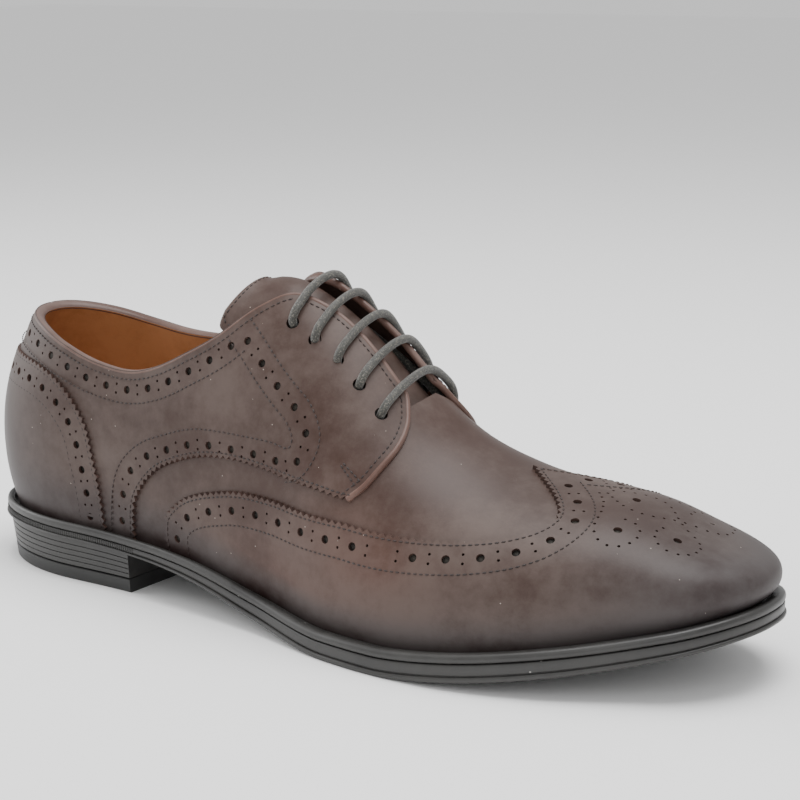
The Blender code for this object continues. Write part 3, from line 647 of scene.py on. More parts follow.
@dataclass
class Hide:
    """A cut of leather with its punched holes, laid over the last at a depth and with a thickness."""

    last: Last
    name: str
    unfold: Unfold
    outline: list[Seam]
    holes: list[Array] = field(default_factory=list)
    depth: Callable[[Array, Array], Array] = lambda turn, rise: np.zeros_like(turn)
    thickness: float = 1.3 * MM
    columns: int = 130
    clearance: float = 0.9
    weld: bool = True

    def rises(self) -> Array:
        """Rows of the grid that carries the form between its edges."""
        low = np.linspace(-1, 0, 12)[1:]
        middle = np.linspace(0, 0.3, 14)[1:]
        high = np.linspace(0.3, 1, 26)[1:]
        return np.concatenate([low, middle, high])

    def grid(self, loop: Array) -> Array:
        """Flat points of the grid that lie inside the outline, clear of every edge."""
        turns = np.linspace(0, 1, self.columns)[1:-1]
        sides = (-1, 1)
        turn, rise = np.meshgrid(turns, self.rises(), indexing="ij")
        points = np.concatenate([flat_of(self.unfold, side * turn.ravel(), rise.ravel()) for side in sides])
        if self.unfold is Unfold.OVER_RIDGE:
            points = np.unique(np.round(points, 6), axis=0)
        else:
            middle = flat_of(self.unfold, np.zeros(len(self.rises())), self.rises())
            points = np.concatenate([points, middle])
        points = points[is_inside(points, loop)]
        edges = np.concatenate([loop] + self.holes) if self.holes else loop
        tree = KDTree(len(edges))
        for i, (x, y) in enumerate(edges):
            tree.insert((x, y, 0), i)
        tree.balance()
        clear = [tree.find((x, y, 0))[2] > self.clearance for x, y in points]
        return points[np.array(clear, bool)]

    def cut(self) -> tuple[Array, Array]:
        """Cut the leather flat.

        Returns:
            Flat points and the triangles between them.
        """
        loop = np.concatenate([flat_of(self.unfold, part.turn, part.rise) for part in self.outline])
        loop = loop[np.linalg.norm(loop - np.roll(loop, 1, axis=0), axis=1) > 1e-3]
        points = [loop]
        edges = [(k, (k + 1) % len(loop)) for k in range(len(loop))]
        owner = [np.zeros(len(loop), int)]
        start = len(loop)
        for index, hole in enumerate(self.holes):
            points.append(hole)
            edges += [(start + k, start + (k + 1) % len(hole)) for k in range(len(hole))]
            owner.append(np.full(len(hole), index + 1))
            start += len(hole)
        grid = self.grid(loop)
        points.append(grid)
        owner.append(np.full(len(grid), -1))
        owner = np.concatenate(owner)
        given = [Vector(point) for point in np.concatenate(points)]
        found, _, faces, origin, _, _ = delaunay_2d_cdt(given, edges, [], 0, 1e-6, True)
        flat = np.array([tuple(point) for point in found])
        kind = np.array([owner[ids[0]] if ids else 0 for ids in origin])
        tri = np.array(faces)
        kinds = kind[tri]
        same = (kinds[:, 0] == kinds[:, 1]) & (kinds[:, 1] == kinds[:, 2])
        in_hole = same & (kinds[:, 0] > 0)
        on_edge = same & (kinds[:, 0] == 0)
        outside = np.zeros(len(tri), bool)
        outside[on_edge] = ~is_inside(flat[tri[on_edge]].mean(axis=1), loop)
        return flat, tri[~(in_hole | outside)]

    def lay(self) -> Piece:
        """Lay the cut over the last.

        Returns:
            Closed wall whose faces have index 0 outside, 1 on the cut edges and 2 inside.
        """
        flat, tri = self.cut()
        turn, rise = chart_of(self.unfold, flat)
        depth = self.depth(turn, rise)
        outer = self.last.skin(turn, rise, depth)
        inner = self.last.skin(turn, rise, depth + self.thickness)
        out = self.last.normal(turn, rise)
        a, b, c = outer[tri[:, 0]], outer[tri[:, 1]], outer[tri[:, 2]]
        turned = (np.cross(b - a, c - a) * out[tri].sum(axis=1)).sum(axis=1) < 0
        tri[turned] = tri[turned][:, ::-1]
        directed = np.concatenate([tri[:, [0, 1]], tri[:, [1, 2]], tri[:, [2, 0]]])
        count = len(flat)
        both = set((directed[:, 0] * count + directed[:, 1]).tolist())
        rim = directed[[b * count + a not in both for a, b in directed.tolist()]]
        if self.weld:
            ends = np.isclose(np.abs(turn), 0) | np.isclose(np.abs(turn), 1)
            here = ends[rim[:, 0]] & ends[rim[:, 1]]
            rim = rim[~(here & np.isclose(np.abs(turn[rim[:, 0]]), np.abs(turn[rim[:, 1]])))]
        walls = np.stack([rim[:, 0], rim[:, 0] + count, rim[:, 1] + count, rim[:, 1]], axis=1)
        faces = tri.tolist() + walls.tolist() + (tri[:, ::-1] + count).tolist()
        piece = new_object(self.name, np.concatenate([outer, inner]), faces)
        index = np.repeat([0, 1, 2], [len(tri), len(walls), len(tri)]).astype(np.int32)
        piece.data.polygons.foreach_set("material_index", index)
        tint(piece, self.last, np.tile(turn, 2), np.tile(rise, 2))
        if self.weld:
            mend(piece, MM / 100, turn_out=False)
        smooth_shaded(piece)
        return piece


def tint(piece: Piece, last: Last, turn: Array, rise: Array) -> None:
    """Tell the leather's finish where it is burnished dark at toe and heel, where it is darker towards the
    bottom as painted shade, and where it is warmer.
    """
    station = last.station_of(np.abs(last.wrapped(turn)))
    # Darker towards the bottom of the upper: painted shade on its lower side.
    foot = 1 - ease(rise, -0.75, 0.10)
    toe = ease(station, 0.80, 1.0) * (1 - 0.45 * ease(rise, 0.35, 0.95))
    heel = (1 - ease(station, 0.02, 0.20)) * (1 - 0.6 * ease(rise, 0.0, 0.35))
    middle = ease(station, 0.25, 0.45) * (1 - ease(station, 0.62, 0.80))
    # Burnish at toe and heel, together with the painted shade towards the bottom.
    burnish_and_shade = 1 - (1 - 0.75 * foot) * (1 - 0.85 * toe) * (1 - 0.55 * heel)
    blush = np.exp(-((station - 0.62) / 0.07) ** 2 - ((rise - 0.22) / 0.16) ** 2)
    blush = blush + 0.7 * np.exp(-((station - 0.50) / 0.10) ** 2 - ((rise + 0.1) / 0.2) ** 2)
    tag_points(piece, "burnish_and_shade", np.clip(burnish_and_shade, 0, 1))
    tag_points(piece, "blush", np.clip(blush + 0.25 * middle, 0, 1))


def round_holes(last: Last, unfold: Unfold, turn: Array, rise: Array, radius: float,
                count: int) -> list[Array]:
    """Flat outlines of holes that are round on the skin."""
    angle = np.tile(round_angles(count), len(turn))[:, None]
    turns = np.repeat(turn, count)
    rises = np.repeat(rise, count)
    out = last.normal(turns, rises)
    along = unit(last.slopes(turns, rises)[0])
    across = np.cross(out, along)
    ring = along * np.cos(angle) + across * np.sin(angle)
    flat = flat_of(unfold, *last.moved(turns, rises, ring * radius, 6))
    return np.split(flat, len(turn))


class NodeSheet:
    """Short way to lay out nodes in a tree."""

    def __init__(self, tree: Tree) -> None:
        """Work on one tree."""
        self.tree = tree

    def feed(self, socket: Socket, value: object) -> None:
        """Link an output to an input, or set the input's own value."""
        if isinstance(value, Socket):
            self.tree.links.new(value, socket)
        else:
            socket.default_value = value

    def add(self, kind: str, inputs: dict | None = None, **settings: object) -> Node:
        """Add a node.

        Args:
            kind: Its type.
            inputs: Values, or sockets to link, by the input's name or number.
            **settings: Its properties.

        Returns:
            The node.
        """
        node = self.tree.nodes.new(kind)
        for key, value in settings.items():
            setattr(node, key, value)
        for key, value in (inputs or {}).items():
            self.feed(node.inputs[key], value)
        return node

    def math(self, operation: str, a: object, b: object = 0.0, clamp: bool = False) -> Socket:
        """Output of a Math node."""
        return self.add("ShaderNodeMath", {0: a, 1: b}, operation=operation, use_clamp=clamp).outputs[0]

    def scaled(self, value: Socket, factor: float, more: float) -> Socket:
        """A value times a factor, plus some more."""
        return self.add("ShaderNodeMath", {0: value, 1: factor, 2: more}, operation="MULTIPLY_ADD").outputs[0]

    def mix(self, factor: object, a: Socket | Colour, b: Socket | Colour) -> Socket:
        """Output of a colour mix."""
        a, b = ((*end, 1) if isinstance(end, tuple) else end for end in (a, b))
        return self.add("ShaderNodeMix", {0: factor, 6: a, 7: b}, data_type="RGBA").outputs[2]

    def stretch(self, value: object, low: float, high: float) -> Socket:
        """A value stretched so that low becomes 0 and high becomes 1."""
        inputs = {"Value": value, "From Min": low, "From Max": high}
        return self.add("ShaderNodeMapRange", inputs, interpolation_type="SMOOTHSTEP").outputs[0]

    def noise(self, scale: object, detail: float, roughness: float = 0.5) -> Socket:
        """Cloudy noise on Object coordinates."""
        place = self.add("ShaderNodeTexCoord").outputs["Object"]
        inputs = {"Vector": place, "Scale": scale, "Detail": detail, "Roughness": roughness}
        return self.add("ShaderNodeTexNoise", inputs).outputs[0]

    def cells(self, scale: object, **settings: object) -> Node:
        """Cell pattern on Object coordinates."""
        place = self.add("ShaderNodeTexCoord").outputs["Object"]
        return self.add("ShaderNodeTexVoronoi", {"Vector": place, "Scale": scale}, **settings)

    def attribute(self, name: str) -> Socket:
        """Number that the piece's points carry."""
        return self.add("ShaderNodeAttribute", attribute_name=name).outputs["Fac"]


def new_group(name: str, inputs: dict[str, float], output: str) -> tuple[NodeSheet, Node, Socket]:
    """Empty shader group with number sockets.

    Args:
        name: Name of the group.
        inputs: Its inputs with their usual values.
        output: Name of its output.

    Returns:
        The sheet to build on, the group's input node and the socket that takes its result.
    """
    tree = bpy.data.node_groups.new(name, "ShaderNodeTree")
    for label, value in inputs.items():
        tree.interface.new_socket(label, in_out="INPUT", socket_type="NodeSocketFloat").default_value = value
    tree.interface.new_socket(output, in_out="OUTPUT", socket_type="NodeSocketFloat")
    sheet = NodeSheet(tree)
    return sheet, sheet.add("NodeGroupInput"), sheet.add("NodeGroupOutput").inputs[output]


class Effects:
    """Surface effects that several finishes share, each a shader group."""

    def __init__(self) -> None:
        """Build every group once."""
        self.grain = self.make_grain()
        self.mottle = self.make_mottle()
        self.dust = self.make_dust()

    def make_grain(self) -> Tree:
        """Fine leather grain: a soft pebble over coarser clouds."""
        sheet, given, result = new_group("leather grain", {"Scale": 1500.0, "Pores": 0.4}, "Height")
        pebble = sheet.cells(given.outputs["Scale"], feature="SMOOTH_F1").outputs["Distance"]
        cloud = sheet.noise(sheet.math("MULTIPLY", given.outputs["Scale"], 0.22), 4.0, 0.65)
        pores = sheet.math("MULTIPLY", pebble, given.outputs["Pores"])
        sheet.feed(result, sheet.math("ADD", pores, cloud))
        return sheet.tree

    def make_mottle(self) -> Tree:
        """Cloudy variation of the colour, coarse and fine."""
        sheet, given, result = new_group("mottle", {"Scale": 22.0, "Fine": 0.35}, "Factor")
        cloud = sheet.noise(given.outputs["Scale"], 3.0)
        speckle = sheet.noise(sheet.math("MULTIPLY", given.outputs["Scale"], 9.0), 5.0, 0.7)
        fine = sheet.math("MULTIPLY", sheet.math("SUBTRACT", speckle, 0.5), given.outputs["Fine"])
        sheet.feed(result, sheet.stretch(sheet.math("ADD", cloud, fine), 0.3, 0.7))
        return sheet.tree

    def make_dust(self) -> Tree:
        """Tiny pale specks, few and scattered."""
        usual = {"Scale": 420.0, "Size": 0.12, "Amount": 0.06}
        sheet, given, result = new_group("dust specks", usual, "Mask")
        cells = sheet.cells(given.outputs["Scale"])
        parts = sheet.add("ShaderNodeSeparateColor", {"Color": cells.outputs["Color"]})
        chosen = sheet.math("LESS_THAN", parts.outputs[0], given.outputs["Amount"])
        small = sheet.math("LESS_THAN", cells.outputs["Distance"], given.outputs["Size"])
        sheet.feed(result, sheet.math("MULTIPLY", chosen, small))
        return sheet.tree


def new_material(name: str) -> tuple[Material, NodeSheet, Node]:
    """Material with its sheet and its Principled shader."""
    made = bpy.data.materials.new(name)
    made.use_nodes = True
    return made, NodeSheet(made.node_tree), made.node_tree.nodes["Principled BSDF"]


def use_group(sheet: NodeSheet, group: Tree, **values: float) -> Socket:
    """Output of a shader group that is placed in a material with its own values."""
    inputs = {label.capitalize(): value for label, value in values.items()}
    return sheet.add("ShaderNodeGroup", inputs, node_tree=group).outputs[0]


def wire(sheet: NodeSheet, shader: Node, colour: Socket, roughness: object, relief: dict) -> None:
    """Give a shader its colour, its roughness and a Bump node's relief."""
    sheet.feed(shader.inputs["Base Color"], colour)
    sheet.feed(shader.inputs["Roughness"], roughness)
    sheet.feed(shader.inputs["Normal"], sheet.add("ShaderNodeBump", relief).outputs[0])


@dataclass(frozen=True)
class LeatherFinish:
    """Waxed smooth leather, burnished dark at toe and heel, darker towards the bottom as painted shade, and
    warm where the piece's points say so.
    """

    name: str
    base: Colour
    dark: Colour
    warm: Colour
    roughness: float = 0.50
    swing: float = 0.14
    shine: float = 0.28
    coat: float = 0.04
    coat_roughness: float = 0.35
    bump: float = 0.12
    dust: float = 0.06
    wax: Colour = (1, 0.92, 0.86)
    hollow: Colour = (0.02, 0.012, 0.012)
    speck: Colour = (0.62, 0.55, 0.48)

    def material(self, effects: Effects) -> Material:
        """Build the material."""
        made, sheet, shader = new_material(self.name)
        cloud = use_group(sheet, effects.mottle, scale=24.0, fine=0.4)
        patches = use_group(sheet, effects.mottle, scale=9.0, fine=0.2)
        warmth = sheet.math("MULTIPLY", sheet.attribute("blush"), sheet.scaled(patches, 0.6, 0.5), True)
        colour = sheet.mix(warmth, self.base, self.warm)
        # Darker at toe and heel from burnishing, and darker towards the bottom as painted shade.
        shade = sheet.math("MULTIPLY", sheet.attribute("burnish_and_shade"), sheet.scaled(cloud, 0.35, 0.80), True)
        colour = sheet.mix(shade, colour, self.dark)
        lighter = sheet.mix(0.25, colour, sheet.mix(0.18, colour, self.wax))
        colour = sheet.mix(cloud, sheet.mix(0.22, colour, self.hollow), lighter)
        specks = use_group(sheet, effects.dust, scale=420.0, size=0.09, amount=self.dust)
        colour = sheet.mix(sheet.math("MULTIPLY", specks, 0.45), colour, self.speck)
        height = use_group(sheet, effects.grain, scale=1500.0, pores=0.5)
        wire(sheet, shader, colour, sheet.scaled(cloud, self.swing, self.roughness - self.swing / 2),
             {"Height": height, "Strength": self.bump, "Distance": 0.2 * MM})
        shader.inputs["Specular IOR Level"].default_value = self.shine
        shader.inputs["Coat Weight"].default_value = self.coat
        shader.inputs["Coat Roughness"].default_value = self.coat_roughness
        return made


@dataclass(frozen=True)
class PlainFinish:
    """A finish with cloudy colour, fine relief and even gloss, for rubber, thread, cut edges and lining."""

    name: str
    base: Colour
    other: Colour
    roughness: float
    swing: float = 0.12
    scale: float = 60.0
    grain: float = 2500.0
    bump: float = 0.15
    dust: float = 0.0
    speck: Colour = (0.5, 0.48, 0.45)

    def material(self, effects: Effects) -> Material:
        """Build the material."""
        made, sheet, shader = new_material(self.name)
        cloud = use_group(sheet, effects.mottle, scale=self.scale, fine=0.5)
        colour = sheet.mix(cloud, self.base, self.other)
        if self.dust:
            specks = use_group(sheet, effects.dust, scale=350.0, size=0.12, amount=self.dust)
            colour = sheet.mix(sheet.math("MULTIPLY", specks, 0.5), colour, self.speck)
        height = use_group(sheet, effects.grain, scale=self.grain, pores=0.3)
        wire(sheet, shader, colour, sheet.scaled(cloud, self.swing, self.roughness - self.swing / 2),
             {"Height": height, "Strength": self.bump, "Distance": 0.15 * MM})
        return made


@dataclass(frozen=True)
class CordFinish:
    """Waxed round cord: fine slanting yarns with pale flecks, on the lace's own UV map."""

    name: str
    base: Colour
    fleck: Colour
    roughness: float = 0.55
    sheen: float = 0.25
    slant: float = 0.7

    def material(self) -> Material:
        """Build the material."""
        made, sheet, shader = new_material(self.name)
        cloth = sheet.add("ShaderNodeUVMap", uv_map="lace").outputs[0]
        twist = sheet.add("ShaderNodeMapping", {"Vector": cloth, "Rotation": (0, 0, self.slant)}).outputs[0]
        waves = {"Vector": twist, "Scale": 0.9, "Distortion": 1.2, "Detail": 2.0}
        yarns = sheet.add("ShaderNodeTexWave", waves, wave_profile="SIN").outputs[1]
        flecks = sheet.noise(1900.0, 2.0)
        pale = sheet.math("MULTIPLY", sheet.stretch(flecks, 0.50, 0.68), sheet.stretch(yarns, 0.1, 0.7))
        height = sheet.math("ADD", yarns, sheet.math("MULTIPLY", flecks, 0.8))
        wire(sheet, shader, sheet.mix(pale, self.base, self.fleck), self.roughness,
             {"Height": height, "Strength": 0.5, "Distance": 0.12 * MM})
        shader.inputs["Sheen Weight"].default_value = self.sheen
        return made


class Palette:
    """Every finish of the shoe."""

    def __init__(self) -> None:
        """Build the materials once."""
        effects = Effects()
        self.leather = LeatherFinish(
            "leather", base=(0.048, 0.025, 0.018), dark=(0.015, 0.010, 0.012), warm=(0.062, 0.023, 0.013),
        ).material(effects)
        self.binding = LeatherFinish(
            "edge binding", base=(0.110, 0.058, 0.044), dark=(0.045, 0.026, 0.024), warm=(0.13, 0.06, 0.042),
            roughness=0.42,
        ).material(effects)
        self.cut_edge = PlainFinish(
            "cut edge", (0.040, 0.022, 0.018), (0.075, 0.040, 0.030), 0.6,
        ).material(effects)
        self.thread = PlainFinish(
            "thread", (0.014, 0.008, 0.007), (0.028, 0.015, 0.012), 0.6, grain=4000.0,
        ).material(effects)
        # Near-black discs under the brogue holes: painted shade in the holes.
        self.painted_hole_shade = PlainFinish(
            "painted hole shade", (0.020, 0.018, 0.015), (0.045, 0.038, 0.030), 0.8,
        ).material(effects)
        self.lining = PlainFinish(
            "lining", (0.36, 0.15, 0.055), (0.46, 0.21, 0.085), 0.62, scale=35.0, grain=1300.0, bump=0.2,
        ).material(effects)
        self.rubber = PlainFinish(
            "rubber", (0.022, 0.021, 0.020), (0.034, 0.033, 0.031), 0.42, scale=40.0, grain=2600.0, bump=0.12,
            dust=0.03,
        ).material(effects)
        self.lift = PlainFinish(
            "lift rubber", (0.012, 0.012, 0.012), (0.020, 0.020, 0.019), 0.50, scale=40.0, grain=2600.0,
        ).material(effects)
        self.lace = CordFinish("waxed lace", (0.030, 0.029, 0.024), (0.24, 0.22, 0.18)).material()
        self.overlay = [self.leather, self.cut_edge, self.cut_edge]


class Copy(Enum):
    """Small shapes that are laid in rows."""

    STITCH = "stitch"
    # Dark discs of painted shade in the brogue holes.
    HOLE_SHADE = "painted hole shade"
    RIB = "rib"


def copies_tree(shape: Copy, finish: Material) -> Tree:
    """Geometry tree that lays one small shape on every point.

    Args:
        shape: What is laid.
        finish: Its material.

    Returns:
        The tree, with the inputs Length, Width and Height.
    """
    tree = bpy.data.node_groups.new(f"lay {shape.value}", "GeometryNodeTree")
    tree.interface.new_socket("Geometry", in_out="INPUT", socket_type="NodeSocketGeometry")
    for label in SIZES:
        tree.interface.new_socket(label, in_out="INPUT", socket_type="NodeSocketFloat").default_value = MM
    tree.interface.new_socket("Geometry", in_out="OUTPUT", socket_type="NodeSocketGeometry")
    sheet = NodeSheet(tree)
    given = sheet.add("NodeGroupInput")
    if shape is Copy.STITCH:
        form = sheet.add("GeometryNodeMeshUVSphere", {"Segments": 6, "Rings": 4, "Radius": 0.5})
    elif shape is Copy.RIB:
        form = sheet.add("GeometryNodeMeshUVSphere", {"Segments": 8, "Rings": 6, "Radius": 0.5})
    else:
        form = sheet.add("GeometryNodeMeshCylinder", {"Vertices": 12, "Radius": 0.5, "Depth": 1.0})
    size = sheet.add("ShaderNodeCombineXYZ", dict(enumerate(given.outputs[label] for label in SIZES)))
    sized = sheet.add("GeometryNodeTransform", {"Geometry": form.outputs["Mesh"], "Scale": size.outputs[0]})
    readers = [sheet.add("GeometryNodeInputNamedAttribute", {"Name": label}, data_type=kind)
               for label, kind in CARRIED]
    along, out, scale = (reader.outputs[0] for reader in readers)
    turned = sheet.add("FunctionNodeAxesToRotation", {0: out, 1: along}, primary_axis="Z", secondary_axis="X")
    laid = {"Points": given.outputs["Geometry"], "Instance": sized.outputs[0],
            "Rotation": turned.outputs[0], "Scale": scale}
    copies = sheet.add("GeometryNodeInstanceOnPoints", laid)
    solid = sheet.add("GeometryNodeRealizeInstances", {0: copies.outputs[0]})
    soft = sheet.add("GeometryNodeSetShadeSmooth", {"Geometry": solid.outputs[0]})
    painted = sheet.add("GeometryNodeSetMaterial", {"Geometry": soft.outputs[0], "Material": finish})
    sheet.add("NodeGroupOutput", {0: painted.outputs[0]})
    return tree


@dataclass
class Row:
    """Places of small shapes: points, the direction they run in, their outward direction and their size."""

    points: Array
    along: Array
    out: Array
    size: Array

    @classmethod
    def of(cls, seam: Seam, depth: float) -> "Row":
        """Row along a line, at a depth below the skin."""
        along, _, out = seam.frames()
        return cls(seam.points(depth), along, out, np.ones(len(along)))


def lay_copies(name: str, rows: Sequence[Row], tree: Tree, size: Sequence[float]) -> None:
    """Lay a small shape along rows as one plain mesh and hand it to the frame.

    Args:
        name: Name of the piece.
        rows: Where the shapes lie.
        tree: Geometry tree that lays them.
        size: Length, width and height of the shape.
    """
    piece = new_object(name, np.concatenate([row.points for row in rows]), [])
    for label, kind in CARRIED:
        values = np.concatenate([getattr(row, label) for row in rows]).astype(np.float32).ravel()
        made = piece.data.attributes.new(label, kind, "POINT")
        made.data.foreach_set("vector" if kind == "FLOAT_VECTOR" else "value", values)
    layer = piece.modifiers.new("Copies", "NODES")
    layer.node_group = tree
    sizes = dict(zip(SIZES, size))
    for item in tree.interface.items_tree:
        if item.name in sizes:
            layer[item.identifier] = sizes[item.name]
    evaluated = piece.evaluated_get(bpy.context.evaluated_depsgraph_get())
    mesh = bpy.data.meshes.new_from_object(evaluated)
    piece.modifiers.remove(layer)
    piece.data = mesh
    mesh.name = name
    dress(piece, [], [])


def tube_faces(count: int, corners: int, closed: bool) -> list[tuple[int, ...]]:
    """Faces between the rings of a tube, which runs into itself or ends in two lids."""
    faces: list[tuple[int, ...]] = []
    for k in range(count if closed else count - 1):
        here, there = k * corners, (k + 1) % count * corners
        for m in range(corners):
            n = (m + 1) % corners
            faces.append((here + m, there + m, there + n, here + n))
    if not closed:
        faces.append(tuple(range(corners)))
        faces.append(tuple(range(count * corners - 1, (count - 1) * corners - 1, -1)))
    return faces


def sweep(centres: Array, across: Array, up: Array, profile: Array) -> tuple[Array, list]:
    """Closed tube of a section along a line.

    Args:
        centres: The line.
        across: Section's first direction at each point.
        up: Its second direction.
        profile: Section's outline, one row of (across, up) for each corner, or one outline for each point.

    Returns:
        Points and faces.
    """
    profile = np.broadcast_to(profile, (len(centres), *np.shape(profile)[-2:]))
    rings = centres[:, None] + across[:, None] * profile[..., :1] + up[:, None] * profile[..., 1:]
    return rings.reshape(-1, 3), tube_faces(*rings.shape[:2], closed=False)


@dataclass
class Medallion:
    """One half of the punched ornament on the toe, seen from above from its middle hole on the ridge."""

    last: Last
    centre: float = 255 * MM
    pitch: float = 3.4 * MM
    eyes: tuple[tuple[float, float], ...] = ((4.8 * MM, 21.0 * MM), (20.0 * MM, 11.8 * MM))
    half_width: float = 40 * MM
    tries: int = 30
    pace: float = 0.5
    scroll_rows: Rows = table(
        "along across",
        (-11.0, 3.5),
        (-6.6, 9.0),
        (-3.8, 15.8),
        (-2.3, 22.5),
        (0.8, 27.0),
        (4.5, 28.0),
        (8.3, 26.4),
        (10.8, 22.0),
        (10.0, 16.8),
        (7.0, 14.6),
        (4.0, 14.8),
    )
    loop_rows: Rows = table(
        "along across",
        (-9.0, -1.8),
        (-4.5, -5.2),
        (0.0, -7.6),
        (5.0, -8.0),
        (9.5, -5.6),
        (13.0, -1.9),
        (17.5, 2.0),
        (22.5, 4.6),
        (26.0, 8.2),
        (26.6, 12.8),
        (24.4, 17.6),
        (20.0, 19.2),
        (15.8, 17.6),
        (13.6, 13.6),
        (14.0, 9.4),
    )

    def lines(self) -> list[Array]:
        """Places of the small holes, evenly spaced along the scroll and the loop."""
        found = []
        for rows in (self.scroll_rows, self.loop_rows):
            shape = np.stack([rows["along"], rows["across"]], axis=1) * MM
            walked = distances(shape)
            at = np.linspace(0, walked[-1], round(walked[-1] / self.pitch) + 1)
            found.append(np.stack([smooth(walked, column, at) for column in shape.T], axis=1))
        return found

    def on_toe(self, along: Array, across: Array) -> tuple[Array, Array]:
        """Turns and rises of places that are given from above, found step by step from a guess."""
        x = self.centre + along
        swing = self.last.read(self.last.crest_rows, "swing", x / self.last.length) * self.last.ball_width
        wanted = np.stack([x, swing + across], axis=1)
        turn = np.where(across < 0, -1, 1) * self.last.turn_of(x / self.last.length - 0.01)
        rise = np.clip(1 - np.abs(across) / self.half_width, 0.3, 0.98)
        for _ in range(self.tries):
            now = self.last.point(turn, rise) + self.last.middle
            gap = wanted - now[:, :2]
            run, up = (way[:, :2] for way in self.last.slopes(turn, rise))
            det = run[:, 0] * up[:, 1] - run[:, 1] * up[:, 0]
            turn = turn + self.pace * (gap[:, 0] * up[:, 1] - gap[:, 1] * up[:, 0]) / det
            rise = rise + self.pace * (run[:, 0] * gap[:, 1] - run[:, 1] * gap[:, 0]) / det
            turn = np.sign(turn) * np.clip(np.abs(turn), 0.6, 0.985)
            rise = np.clip(rise, 0.1, 1.0)
        return turn, rise


@dataclass
class Brogueing:
    """Punched bands: big holes in a row with pairs of small holes between them."""

    last: Last
    big_radius: float = 1.4 * MM
    small_radius: float = 0.5 * MM
    pair_spread: float = 1.55 * MM
    big_corners: int = 16
    small_corners: int = 8
    # Dark discs under the holes, which paint the shade inside them.
    shade_disc_depth: float = 1.25 * MM
    shade_disc_size: tuple[float, float, float] = (1 * MM, 1 * MM, 0.1 * MM)
    shade_disc_spread: float = 2.3
    places: list[tuple[float, float, float]] = field(default_factory=list)

    def punch(self, unfold: Unfold, turn: Array, rise: Array, radius: float) -> list[Array]:
        """Flat outlines of round holes, and their places kept for the dark discs of painted shade under them.
        """
        corners = self.big_corners if radius == self.big_radius else self.small_corners
        self.places.extend((t, r, radius) for t, r in zip(turn, rise))
        return round_holes(self.last, unfold, turn, rise, radius, corners)

    def band(self, unfold: Unfold, middle: Seam, pitch: float) -> list[Array]:
        """Holes of a band along its middle line."""
        big = middle.spaced(pitch, ends=False)
        ends = middle.spaced(pitch)
        holes = self.punch(unfold, big.turn, big.rise, self.big_radius)
        for side in (1, -1):
            pair = ends.beside(side * self.pair_spread, 1).part(slice(1, -1))
            holes += self.punch(unfold, pair.turn, pair.rise, self.small_radius)
        return holes

    def medallion(self, half: Medallion) -> list[Array]:
        """Outlines of the medallion's holes: big ones in the scrolls' eyes, small ones along the scrolls."""
        holes: list[Array] = []
        for side in (-1, 1):
            for line in half.lines():
                turn, rise = half.on_toe(line[:, 0], side * line[:, 1])
                holes += self.punch(Unfold.OVER_RIDGE, turn, rise, self.small_radius)
            eyes = np.array(half.eyes)
            turn, rise = half.on_toe(eyes[:, 0], side * eyes[:, 1])
            holes += self.punch(Unfold.OVER_RIDGE, turn, rise, self.big_radius)
        turn, rise = half.on_toe(np.zeros(1), np.full(1, 0.01 * MM))
        holes += self.punch(Unfold.OVER_RIDGE, turn, rise, self.big_radius)
        return holes

    def shade_disc_row(self) -> Row:
        """Dark discs that close the holes from below, painted shade in the punched holes."""
        turn, rise, radius = np.array(self.places).T
        along = unit(self.last.slopes(turn, rise)[0])
        out = self.last.normal(turn, rise)
        size = self.shade_disc_spread * radius / MM
        return Row(self.last.skin(turn, rise, self.shade_disc_depth), along, out, size)


